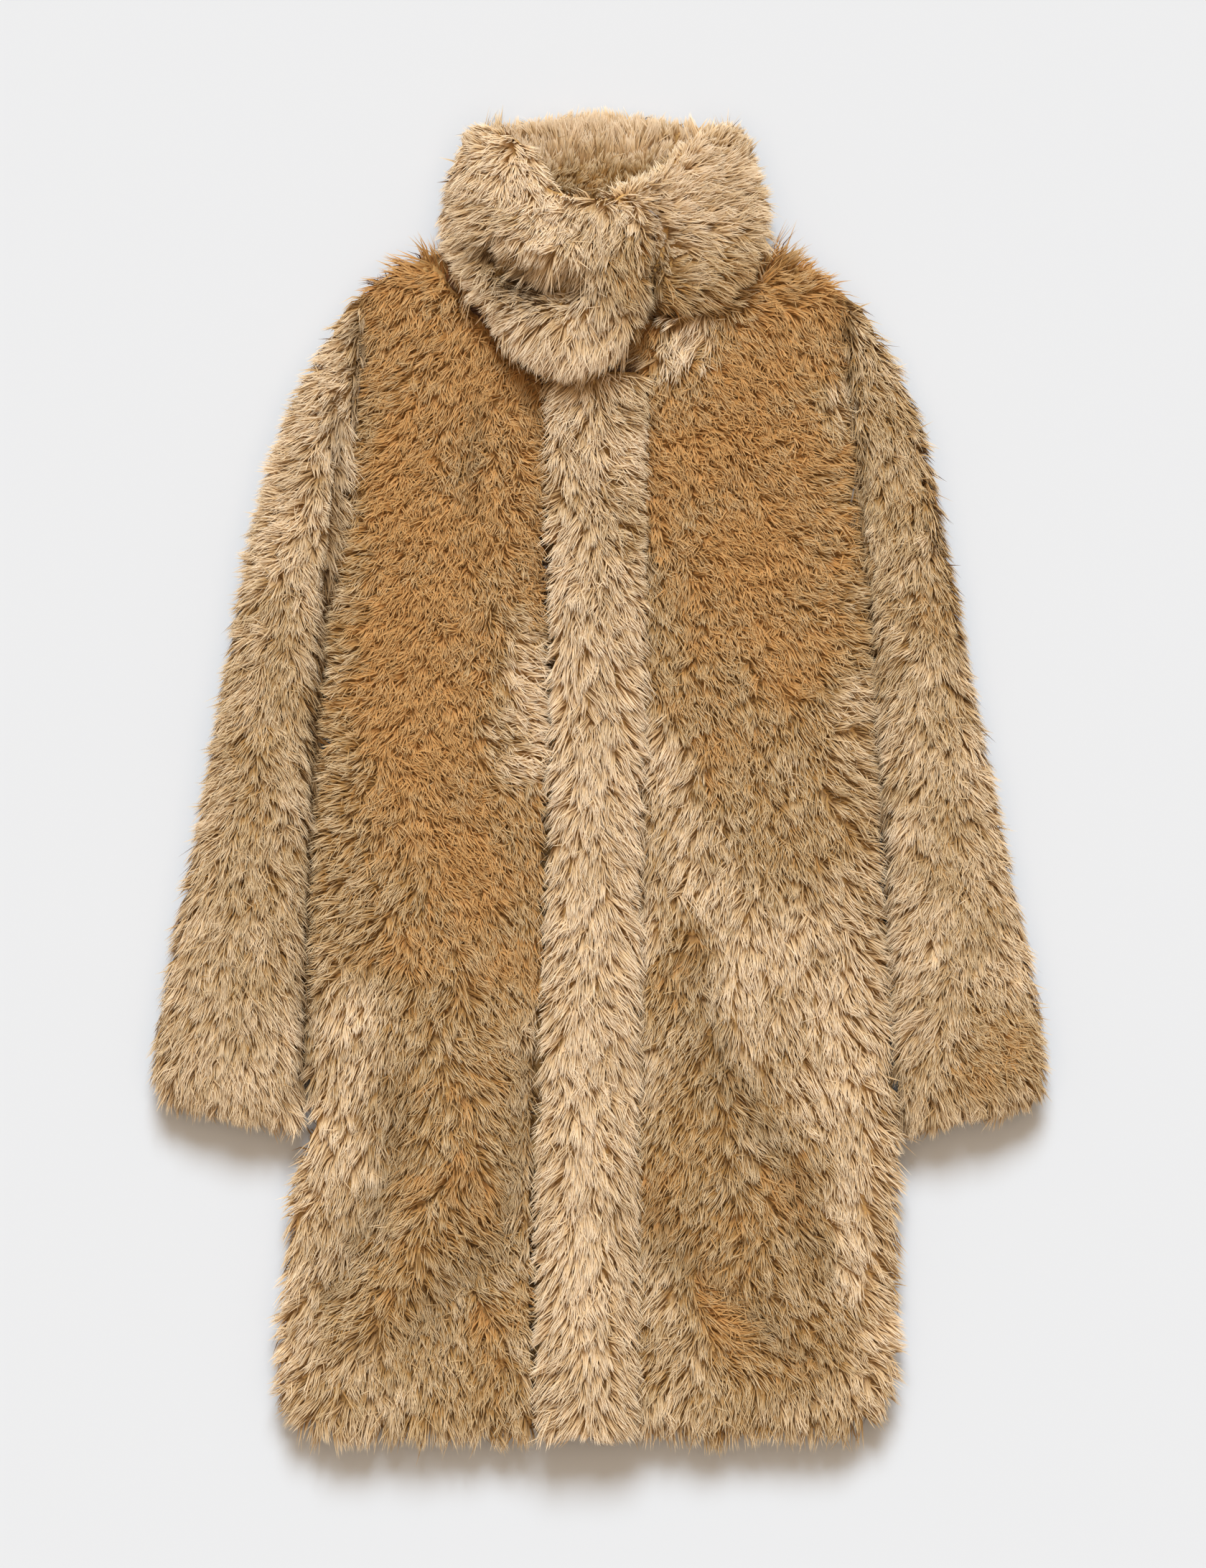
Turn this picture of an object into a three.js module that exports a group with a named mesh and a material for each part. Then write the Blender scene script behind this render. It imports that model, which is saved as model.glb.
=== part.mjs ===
// A faux fur coat, laid flat on its back with the front facing up and the right front closed over the left.
// Millimetres, +Z up. +Y points from the hem to the collar and +X to the wearer's left.
// Each cloth piece is a closed wall as thick as the pile fabric, backing and fur together,
// and its outer face is where the tips of the fur lie.
import * as THREE from "three";

// The pile fabric, and how the layers lie on each other
const SEAM_GAP = 0.5; // between pieces that are sewn together
const LAYER_GAP = 0.6; // between a piece and the one that lies on it
const SIDE_GAP = 1; // between the body and the sleeve that lies beside it
const BACK_PILE = 16; // pressed flat by the coat's own weight
const FRONT_PILE = 22;
const UNDERLAP_PILE = 12; // the left front's edge, pressed below the placket
const PLACKET_PILE = 17;
const SLEEVE_SLIT = 1.2; // what is left of the hollow in a flattened sleeve
const COLLAR_PILE = 16; // the collar's wall, with fur on both faces
const REST_DEPTH = 2.5; // how deep a sleeve's underside is pressed flat by the floor
const SEAM_LIP = 3; // how thick a piece is left at its edges
const EDGE_ROUND = 24; // how far in from an edge the fur reaches its full height
const BACK_ROUND = 7; // the same for the back's edges, lower down

const FRONT_FLOOR = BACK_PILE + LAYER_GAP;
const FRONT_TOP = FRONT_FLOOR + FRONT_PILE;
const UNDERLAP_TOP = FRONT_FLOOR + UNDERLAP_PILE;
const PLACKET_FLOOR = UNDERLAP_TOP + LAYER_GAP;

// The outline of the body, half by half: left and right are the wearer's, measured out from the middle
const SHOULDER_TIP = { y: 384, left: 188, right: 180 };
const UNDERARM = { y: 160, left: 208, right: 204 };
const ARMHOLE_BOW = { left: 0, right: 6 }; // how far the armhole curves in towards the body
const SIDE_SEAM = [
  { y: UNDERARM.y, left: UNDERARM.left, right: UNDERARM.right },
  { y: 80, left: 217, right: 213 },
  { y: -20, left: 220, right: 218 },
  { y: -110, left: 225, right: 223 },
  { y: -200, left: 231, right: 225 },
  { y: -282, left: 236, right: 228 },
  { y: -318, left: 236, right: 242 },
  { y: -380, left: 237, right: 247 },
  { y: -446, left: 237, right: 253 },
  { y: -482, left: 232, right: 253 },
  { y: -505, left: 214, right: 236 },
];
const HEM = -515;
const HEM_CORNER = 36; // how far in from the corner the hem reaches its full length

// The necklines in plan, from the shoulder seam to the centre front, and across the back
const NECKLINE = {
  left: [[136, 417], [124, 393], [100, 377], [70, 366], [35, 361]],
  right: [[-130, 414], [-106, 386], [-78, 352], [-56, 325], [-38.5, 316]],
  back: [[-130, 414], [-112, 421], [-90, 434], [-74, 437.5], [78, 437.5], [98, 434], [118, 423], [136, 417]],
};

// The placket's two long edges: it is sewn to the right front, and its free edge lies on the left front
const PLACKET_EDGES = [
  { y: 312, sewn: -38, free: 34 },
  { y: 160, sewn: -35, free: 34 },
  { y: 40, sewn: -34, free: 31 },
  { y: -110, sewn: -36, free: 29 },
  { y: -300, sewn: -44, free: 27 },
  { y: HEM, sewn: -44, free: 26 },
];
const UNDERLAP = 58; // how far the left front runs on below the placket

// The sleeves, from the armhole to the cuff. outer and inner are where the two folded edges of the flattened
// tube lie in plan, bow is how far it curves towards the body between them, and height is how thick it lies
const SLEEVE_RIGHT = [
  { outer: [-180, 384], inner: [-204, 160], bow: 6, height: 38 },
  { outer: [-211, 338], inner: [-211, 105], bow: 4, height: 44 },
  { outer: [-245, 268], inner: [-215, 52], bow: 2, height: 47 },
  { outer: [-268, 182], inner: [-218, 5], bow: 0, height: 48 },
  { outer: [-289, 74], inner: [-220, -50], bow: 0, height: 48 },
  { outer: [-311, -45], inner: [-223, -121], bow: 0, height: 48 },
  { outer: [-335, -157], inner: [-226, -200], bow: 0, height: 46 },
  { outer: [-347, -228], inner: [-229, -256], bow: 0, height: 43 },
  { outer: [-331, -258], inner: [-230, -279], bow: 0, height: 38 },
];
const SLEEVE_LEFT = [
  { outer: [188, 384], inner: [208, 160], bow: 0, height: 38 },
  { outer: [221, 338], inner: [214, 105], bow: 0, height: 44 },
  { outer: [254, 268], inner: [218, 52], bow: 0, height: 47 },
  { outer: [270, 182], inner: [220, 5], bow: 0, height: 48 },
  { outer: [291, 74], inner: [222, -50], bow: 0, height: 48 },
  { outer: [314, -45], inner: [226, -121], bow: 0, height: 48 },
  { outer: [340, -157], inner: [231, -200], bow: 0, height: 46 },
  { outer: [348, -230], inner: [235, -258], bow: 0, height: 43 },
  { outer: [339, -260], inner: [237, -281], bow: 0, height: 38 },
];
const SLEEVE_RINGS = 18;

// The funnel collar, from the end that lies below, round the back of the neck, to the end that laps over.
// neck and top are where the middle of the wall runs, at the neck seam and at the upper edge
const COLLAR = [
  { neck: [0, 352, 39], top: [8, 452, 40] },
  { neck: [36, 353, 39], top: [40, 460, 40] },
  { neck: [70, 358, 39], top: [56, 480, 41] },
  { neck: [98, 368, 39], top: [76, 495, 41] },
  { neck: [122, 390, 37], top: [100, 501, 38] },
  { neck: [126, 423, 22], top: [108, 499, 23] },
  { neck: [110, 438, 8], top: [96, 504, 8] },
  { neck: [56, 438, 8], top: [48, 508, 8] },
  { neck: [0, 438, 8], top: [0, 513, 8] },
  { neck: [-52, 438, 8], top: [-42, 509, 8] },
  { neck: [-100, 438, 8], top: [-84, 503, 8] },
  { neck: [-117, 420, 22], top: [-97, 495, 23] },
  { neck: [-108, 382, 39], top: [-86, 502, 44] },
  { neck: [-80, 344, 43], top: [-50, 487, 54] },
  { neck: [-48, 312, 50], top: [-33, 454, 60] },
  { neck: [-9, 304, 52], top: [0, 447, 62] },
  { neck: [19, 320, 56], top: [26, 452, 62] },
  { neck: [34, 342, 59], top: [44, 460, 62] },
];
const COLLAR_SWELL = 6; // how far the collar's front bows up between its two edges
// Where the front of the collar buckles: a trough along a short line, and the roll of fur above it
const COLLAR_BUCKLE = { from: [-74, 393], to: [-24, 372], width: 13, depth: 8, rollAbove: 24, rollRise: 5 };

// The largest folds of the fronts, as they run in plan: soft ridges, and troughs where rise is negative
const FOLDS = [
  { from: [-143, -100], to: [-150, -212], width: 28, rise: 6 },
  { from: [-149, -212], to: [-107, -294], width: 28, rise: 7 },
  { from: [-107, -294], to: [-138, -384], width: 28, rise: 7 },
  { from: [-138, -384], to: [-176, -430], width: 26, rise: 6 },
  { from: [-80, -406], to: [-64, -500], width: 20, rise: 5 },
  { from: [-66, -130], to: [-62, -520], width: 15, rise: -5 },
  { from: [-128, -88], to: [-182, -150], width: 13, rise: -6 },
  { from: [-118, 262], to: [-104, 130], width: 18, rise: -5 },
  { from: [-80, 240], to: [-76, 110], width: 20, rise: 5 },
  { from: [56, 170], to: [58, 60], width: 12, rise: -4 },
  { from: [42, 44], to: [92, -78], width: 16, rise: -5 },
  { from: [75, -185], to: [97, -273], width: 26, rise: 7 },
  { from: [97, -273], to: [152, -326], width: 26, rise: 7 },
  { from: [88, -384], to: [96, -412], width: 20, rise: -5 },
  { from: [150, 240], to: [126, 60], width: 40, rise: 4 },
];

const GOLDEN_FUR = "#b58a58";
const PALE_FUR = "#cdac80";
const FUR_ROUGHNESS = 0.9;

const { lerp, smoothstep } = THREE.MathUtils;
const inPlan = ([x, y]) => new THREE.Vector3(x, y, 0);

// A column of a table whose rows run down in y, between its rows
function fromTable(table, column, y) {
  const below = table.findIndex((row) => row.y <= y);
  if (below === 0) return table[0][column];
  if (below < 0) return table.at(-1)[column];
  const [high, low] = [table[below - 1], table[below]];
  return lerp(high[column], low[column], (high.y - y) / (high.y - low.y));
}

// Shares from 0 to 1, closer together towards the edges where the pile rounds off
const easedBothEnds = (share) => (1 - Math.cos(Math.PI * share)) / 2;
const shares = (count) => Array.from({ length: count + 1 }, (_, i) => easedBothEnds(i / count));

// The point a share of the way along a line of points, by length
function alongLine(points, share) {
  const lengths = points.slice(1).map((p, i) => p.distanceTo(points[i]));
  let left = share * lengths.reduce((a, b) => a + b, 0);
  const stretch = lengths.findIndex((length, i) => {
    if (left <= length || i === lengths.length - 1) return true;
    left -= length;
    return false;
  });
  return points[stretch].clone().lerp(points[stretch + 1], Math.min(1, left / lengths[stretch]));
}

// How far p lies from a line of points, in plan
function distanceTo(points, p) {
  const flat = p.clone().setZ(0);
  const near = new THREE.Vector3();
  const distances = points
    .slice(1)
    .map((end, i) => new THREE.Line3(points[i], end).closestPointToPoint(flat, true, near).distanceTo(flat));
  return Math.min(...distances);
}

// The rounding of a pile at an edge: 0 at the edge, and 1 where the fur has its full height
function roundedOff(distance, reach) {
  const share = THREE.MathUtils.clamp(distance / reach, 0, 1);
  return Math.sqrt(1 - (1 - share) ** 2);
}

// A point of the patch between four lines: top and bottom run the same way, and so do start and end
function patch({ top, bottom, start, end }, u, v) {
  const between = (a, b, share) => a.clone().lerp(b, share);
  const across = between(alongLine(top, u), alongLine(bottom, u), v);
  const down = between(alongLine(start, v), alongLine(end, v), u);
  const corners = between(between(top[0], top.at(-1), u), between(bottom[0], bottom.at(-1), u), v);
  return across.add(down).sub(corners);
}

// One side of the body, from the shoulder tip round the armhole and down the side seam
function sideLine(side, sign) {
  const armholeSteps = 8;
  const armhole = Array.from({ length: armholeSteps }, (_, i) => {
    const share = i / armholeSteps;
    const bow = ARMHOLE_BOW[side] * 4 * share * (1 - share);
    return inPlan([
      sign * (lerp(SHOULDER_TIP[side], UNDERARM[side], share) - bow),
      lerp(SHOULDER_TIP.y, UNDERARM.y, share),
    ]);
  });
  return [...armhole, ...SIDE_SEAM.map((row) => inPlan([sign * row[side], row.y]))];
}

// The hem between two places across, with the corners of the coat rounded
function hemLine(fromX, toX) {
  const corner = SIDE_SEAM.at(-1);
  return shares(14).map((share) => {
    const x = lerp(fromX, toX, share);
    const fromCorner = Math.min(x + corner.right, corner.left - x);
    return inPlan([x, lerp(corner.y, HEM, roundedOff(fromCorner, HEM_CORNER))]);
  });
}

// How much the folds raise or lower a front at a point
function foldRise(p) {
  const rises = FOLDS.map((fold) => {
    const offLine = distanceTo([inPlan(fold.from), inPlan(fold.to)], p);
    return fold.rise * Math.exp(-((offLine / fold.width) ** 2));
  });
  return Math.max(0, ...rises) + Math.min(0, ...rises);
}

// A closed wall between two grids of points, outer[row][column] and inner[row][column].
// A ring is closed round its columns, and open at its first and last rows
function wall(outer, inner, isRing = false) {
  const rows = outer.length;
  const columns = outer[0].length;
  const at = (layer, i, j) => (layer * rows + i) * columns + (j % columns);
  const index = [];
  const quad = (a, b, c, d) => index.push(a, b, c, a, c, d);
  const across = isRing ? columns : columns - 1;
  for (let j = 0; j < across; j++) {
    for (let i = 0; i < rows - 1; i++) {
      quad(at(0, i, j), at(0, i + 1, j), at(0, i + 1, j + 1), at(0, i, j + 1));
      quad(at(1, i, j), at(1, i, j + 1), at(1, i + 1, j + 1), at(1, i + 1, j));
    }
    quad(at(0, 0, j), at(0, 0, j + 1), at(1, 0, j + 1), at(1, 0, j));
    quad(at(0, rows - 1, j), at(1, rows - 1, j), at(1, rows - 1, j + 1), at(0, rows - 1, j + 1));
  }
  for (let i = 0; i < rows - 1 && !isRing; i++) {
    const last = columns - 1;
    quad(at(0, i, 0), at(1, i, 0), at(1, i + 1, 0), at(0, i + 1, 0));
    quad(at(0, i, last), at(0, i + 1, last), at(1, i + 1, last), at(1, i, last));
  }
  const geometry = new THREE.BufferGeometry().setFromPoints([...outer.flat(), ...inner.flat()]);
  geometry.setIndex(index);
  if (signedVolume(geometry) < 0) geometry.setIndex(index.reverse());
  geometry.computeVertexNormals();
  return geometry;
}

function signedVolume(geometry) {
  const position = geometry.getAttribute("position");
  const corner = (k) => new THREE.Vector3().fromBufferAttribute(position, geometry.index.array[k]);
  let volume = 0;
  for (let k = 0; k < geometry.index.count; k += 3)
    volume += corner(k).dot(corner(k + 1).cross(corner(k + 2))) / 6;
  return volume;
}

// The back: flat below, where it rests, with its edges rounded up
function back() {
  const right = sideLine("right", -1);
  const left = sideLine("left", 1);
  const hem = hemLine(right.at(-1).x, left.at(-1).x);
  const top = [right[0], ...NECKLINE.back.map(inPlan), left[0]];
  const lines = { top, bottom: hem, start: right, end: left };
  const grid = shares(20).map((v) => shares(16).map((u) => patch(lines, u, v)));
  const lift = (p) => {
    const fromEdge = Math.min(distanceTo(left, p), distanceTo(right, p), distanceTo(hem, p));
    return BACK_ROUND * (1 - roundedOff(fromEdge, BACK_ROUND));
  };
  const above = grid.map((row) => row.map((p) => p.clone().setZ(BACK_PILE)));
  const below = grid.map((row) => row.map((p) => p.clone().setZ(lift(p))));
  return wall(above, below);
}

// How much of its height a front keeps near its side: some at the armhole, where the sleeve goes on,
// and little at the side seam
function heightBySide(p, fromSide) {
  const atEdge = 0.8 * smoothstep(p.y, UNDERARM.y - 50, UNDERARM.y + 50);
  return lerp(atEdge, 1, roundedOff(fromSide, EDGE_ROUND));
}

// A front from its side to the centre front. heightAt gives how high the fur stands away from the edges,
// and underlap is how far the cloth runs on past the centre front line
function front(side, sign, centreFront, heightAt, underlap = 0) {
  const seam = sideLine(side, sign);
  const neckline = NECKLINE[side].map(inPlan);
  const hem = hemLine(seam.at(-1).x, centreFront.at(-1).x);
  const lines = { top: [seam[0], ...neckline], bottom: hem, start: seam, end: centreFront };
  const underlapSteps = underlap > 0 ? [0.5, 1] : [];
  const grid = shares(32).map((v) => {
    const row = shares(16).map((u) => patch(lines, u, v));
    const edge = row.at(-1);
    return [...row, ...underlapSteps.map((share) => inPlan([edge.x - share * underlap, edge.y]))];
  });
  const freeEdges = [hem, [hem.at(-1), inPlan([centreFront.at(-1).x - underlap, HEM])], [seam[0], neckline[0]]];
  const above = grid.map((row) =>
    row.map((p) => {
      const fromFreeEdge = Math.min(...freeEdges.map((line) => distanceTo(line, p)));
      const share = Math.min(
        roundedOff(fromFreeEdge, EDGE_ROUND),
        heightBySide(p, distanceTo(seam, p)),
        lerp(0.5, 1, smoothstep(distanceTo(neckline, p), 0, EDGE_ROUND)),
      );
      return p.clone().setZ(FRONT_FLOOR + SEAM_LIP + (heightAt(p) - FRONT_FLOOR - SEAM_LIP) * share);
    }),
  );
  const below = grid.map((row) => row.map((p) => p.clone().setZ(FRONT_FLOOR)));
  return wall(above, below);
}

// A long edge of the placket as a line, moved sideways by a gap, from a height down to the hem
function placketEdge(column, gap, fromY) {
  const heights = [fromY, ...PLACKET_EDGES.slice(1).map((row) => row.y)];
  return heights.map((y) => inPlan([fromTable(PLACKET_EDGES, column, y) + gap, y]));
}

function frontRight() {
  const dip = 5; // along the seam with the placket
  const centreFront = placketEdge("sewn", -SEAM_GAP, NECKLINE.right.at(-1)[1]);
  return front("right", -1, centreFront, (p) => {
    const fromPlacket = fromTable(PLACKET_EDGES, "sewn", p.y) - p.x;
    return FRONT_TOP + foldRise(p) - dip * (1 - roundedOff(fromPlacket, EDGE_ROUND));
  });
}

function frontLeft() {
  const centreFront = placketEdge("free", SEAM_GAP, NECKLINE.left.at(-1)[1]);
  const heightAt = (p) => {
    const pastPlacket = p.x - fromTable(PLACKET_EDGES, "free", p.y) - SEAM_GAP;
    return lerp(UNDERLAP_TOP, FRONT_TOP + foldRise(p), roundedOff(pastPlacket, EDGE_ROUND));
  };
  return front("left", 1, centreFront, heightAt, UNDERLAP);
}

// The placket: a band down the right front's edge, crowned along its middle
function placket() {
  const sewn = placketEdge("sewn", 0, PLACKET_EDGES[0].y);
  const free = placketEdge("free", 0, PLACKET_EDGES[0].y);
  const grid = shares(30).map((v) => shares(8).map((u) => alongLine(sewn, v).lerp(alongLine(free, v), u)));
  const hem = [sewn.at(-1), free.at(-1)];
  const above = grid.map((row) =>
    row.map((p, j) => {
      const u = easedBothEnds(j / (row.length - 1));
      const crown = Math.sqrt(1 - (2 * u - 1) ** 4);
      const atHem = roundedOff(distanceTo(hem, p), EDGE_ROUND);
      return p.clone().setZ(PLACKET_FLOOR + SEAM_LIP + (PLACKET_PILE - SEAM_LIP) * crown * atHem);
    }),
  );
  const below = grid.map((row) => row.map((p) => p.clone().setZ(PLACKET_FLOOR)));
  return wall(above, below);
}

// A number of a sleeve's table, eased through its rows; share runs from the armhole to the cuff
function throughRows(table, share, numberOf) {
  const points = table.map((row) => new THREE.Vector3(numberOf(row), 0, 0));
  return new THREE.CatmullRomCurve3(points, false, "catmullrom").getPoint(share).x;
}

// A cosine or sine made fuller, so that an oval has flatter sides
const fuller = (value, power) => Math.sign(value) * Math.abs(value) ** power;

// A sleeve: a flattened tube whose first ring lies along the armhole and whose last is the cuff
function sleeve(table, sign) {
  const around = 24;
  const outer = [];
  const inner = [];
  for (let i = 0; i <= SLEEVE_RINGS; i++) {
    const share = i / SLEEVE_RINGS;
    const at = (numberOf) => throughRows(table, share, numberOf);
    const outerEdge = inPlan([at((row) => row.outer[0]), at((row) => row.outer[1])]);
    const innerEdge = inPlan([at((row) => row.inner[0]), at((row) => row.inner[1])]);
    const bow = at((row) => row.bow);
    const middle = at((row) => row.height) / 2;
    const halfWidth = outerEdge.distanceTo(innerEdge) / 2;
    const cuffRound = lerp(0.72, 1, roundedOff(SLEEVE_RINGS - i, 2.5));
    const ring = (reach, halfHeight) =>
      Array.from({ length: around }, (_, j) => {
        const angle = (2 * Math.PI * j) / around;
        const place = (fuller(Math.cos(angle), 0.72) * reach) / halfWidth;
        const height = middle + halfHeight * fuller(Math.sin(angle), 0.66);
        const p = outerEdge.clone().lerp(innerEdge, (place + 1) / 2);
        p.x += sign * (SIDE_GAP - bow * (1 - place ** 2));
        return p.setZ(height);
      });
    outer.push(ring(halfWidth, middle * cuffRound));
    inner.push(ring(halfWidth - middle * 0.8, SLEEVE_SLIT / 2));
  }
  const rested = outer.map((row) => row.map((p) => p.setZ(p.z < REST_DEPTH ? 0 : p.z)));
  return wall(rested, inner, true);
}

// The collar's wall: its middle bows up at the front, and it buckles once on the upper end
function collar() {
  const line = (edge) => new THREE.CatmullRomCurve3(COLLAR.map((row) => new THREE.Vector3(...row[edge])));
  const neck = line("neck");
  const top = line("top");
  const plain = (s, t) => neck.getPoint(s).lerp(top.getPoint(s), t);
  const across = 50;
  const up = 11;
  const step = 0.002;
  const outwards = (s, t) => {
    const along = plain(Math.min(1, s + step), t).sub(plain(Math.max(0, s - step), t));
    return along.cross(plain(s, 1).sub(plain(s, 0))).normalize();
  };
  const buckleLine = [inPlan(COLLAR_BUCKLE.from), inPlan(COLLAR_BUCKLE.to)];
  const rollLine = buckleLine.map((p) => p.clone().add(inPlan([6, COLLAR_BUCKLE.rollAbove])));
  const outer = [];
  const inner = [];
  for (let i = 0; i <= up; i++) {
    const t = i / up;
    const outerRow = [];
    const innerRow = [];
    for (let j = 0; j <= across; j++) {
      const s = j / across;
      const p = plain(s, t);
      const isFront = smoothstep(p.z, 28, 44);
      const isUpperEnd = smoothstep(s, 0.66, 0.76);
      const fromEnds = Math.min(i, up - i, (across - j) * 0.6, j * 0.6);
      const half = (COLLAR_PILE / 2) * lerp(0.62, 1, roundedOff(fromEnds, 1.8));
      const normal = outwards(s, t);
      p.z += COLLAR_SWELL * Math.sin(Math.PI * t) ** 0.7 * isFront * isUpperEnd;
      const dip = COLLAR_BUCKLE.depth * Math.exp(-((distanceTo(buckleLine, p) / COLLAR_BUCKLE.width) ** 2));
      const roll = COLLAR_BUCKLE.rollRise * Math.exp(-((distanceTo(rollLine, p) / COLLAR_BUCKLE.width) ** 2));
      const relief = (roll - dip) * isUpperEnd * isFront;
      outerRow.push(aboveFloor(p.clone().addScaledVector(normal, half + relief)));
      innerRow.push(aboveFloor(p.clone().addScaledVector(normal, -half)));
    }
    outer.push(outerRow);
    inner.push(innerRow);
  }
  return wall(outer, inner);
}

const aboveFloor = (p) => p.setZ(Math.max(0, p.z));

function piece(name, geometry, colour) {
  const material = new THREE.MeshStandardMaterial({ color: colour, roughness: FUR_ROUGHNESS, metalness: 0 });
  const mesh = new THREE.Mesh(geometry, material);
  mesh.name = name;
  return mesh;
}

const coat = new THREE.Group();
coat.add(
  piece("back", back(), GOLDEN_FUR),
  piece("front_right", frontRight(), GOLDEN_FUR),
  piece("front_left", frontLeft(), GOLDEN_FUR),
  piece("placket", placket(), PALE_FUR),
  piece("sleeve_right", sleeve(SLEEVE_RIGHT, -1), GOLDEN_FUR),
  piece("sleeve_left", sleeve(SLEEVE_LEFT, 1), GOLDEN_FUR),
  piece("collar", collar(), PALE_FUR),
);

// The origin is the middle of the floor that the coat covers
const box = new THREE.Box3().setFromObject(coat);
coat.position.set(-(box.min.x + box.max.x) / 2, -(box.min.y + box.max.y) / 2, -box.min.z);

export default coat;
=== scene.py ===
"""A faux fur coat laid flat: its knitted backing and its pile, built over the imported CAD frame.

Each piece of the coat is a skin of cloth with the piece's own form, drawn in by the depth of the pile,
and a pile of tapering hairs that gather into locks and follow the way the fur is brushed.
"""

import math

import bmesh
import bpy
import numpy as np
from bpy.props import FloatProperty, FloatVectorProperty, IntProperty, PointerProperty
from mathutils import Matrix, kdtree
from mathutils.bvhtree import BVHTree


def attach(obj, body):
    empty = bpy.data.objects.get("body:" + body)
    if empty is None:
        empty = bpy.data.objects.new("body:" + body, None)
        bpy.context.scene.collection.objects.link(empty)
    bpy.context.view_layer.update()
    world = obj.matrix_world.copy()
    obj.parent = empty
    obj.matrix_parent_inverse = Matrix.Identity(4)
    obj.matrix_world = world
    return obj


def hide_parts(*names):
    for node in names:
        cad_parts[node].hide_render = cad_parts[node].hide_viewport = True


bl_info = {
    "name": "Faux Fur Coat",
    "blender": (4, 5, 0),
    "version": (1, 0, 0),
    "location": "View3D > Sidebar > Coat",
    "description": "Builds a faux fur coat that lies flat, with its pile, over a CAD frame",
    "category": "Object",
}

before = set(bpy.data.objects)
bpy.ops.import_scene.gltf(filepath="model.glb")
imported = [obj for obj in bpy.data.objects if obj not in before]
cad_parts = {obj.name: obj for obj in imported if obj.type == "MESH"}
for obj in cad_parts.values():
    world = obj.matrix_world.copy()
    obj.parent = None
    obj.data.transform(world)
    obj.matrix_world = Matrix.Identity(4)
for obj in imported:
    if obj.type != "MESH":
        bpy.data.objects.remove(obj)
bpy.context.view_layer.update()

MM = 0.001
BAKE_MAP = "OFBake"
TONES = 16  # how many steps there are from pale over brown to golden pile

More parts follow.
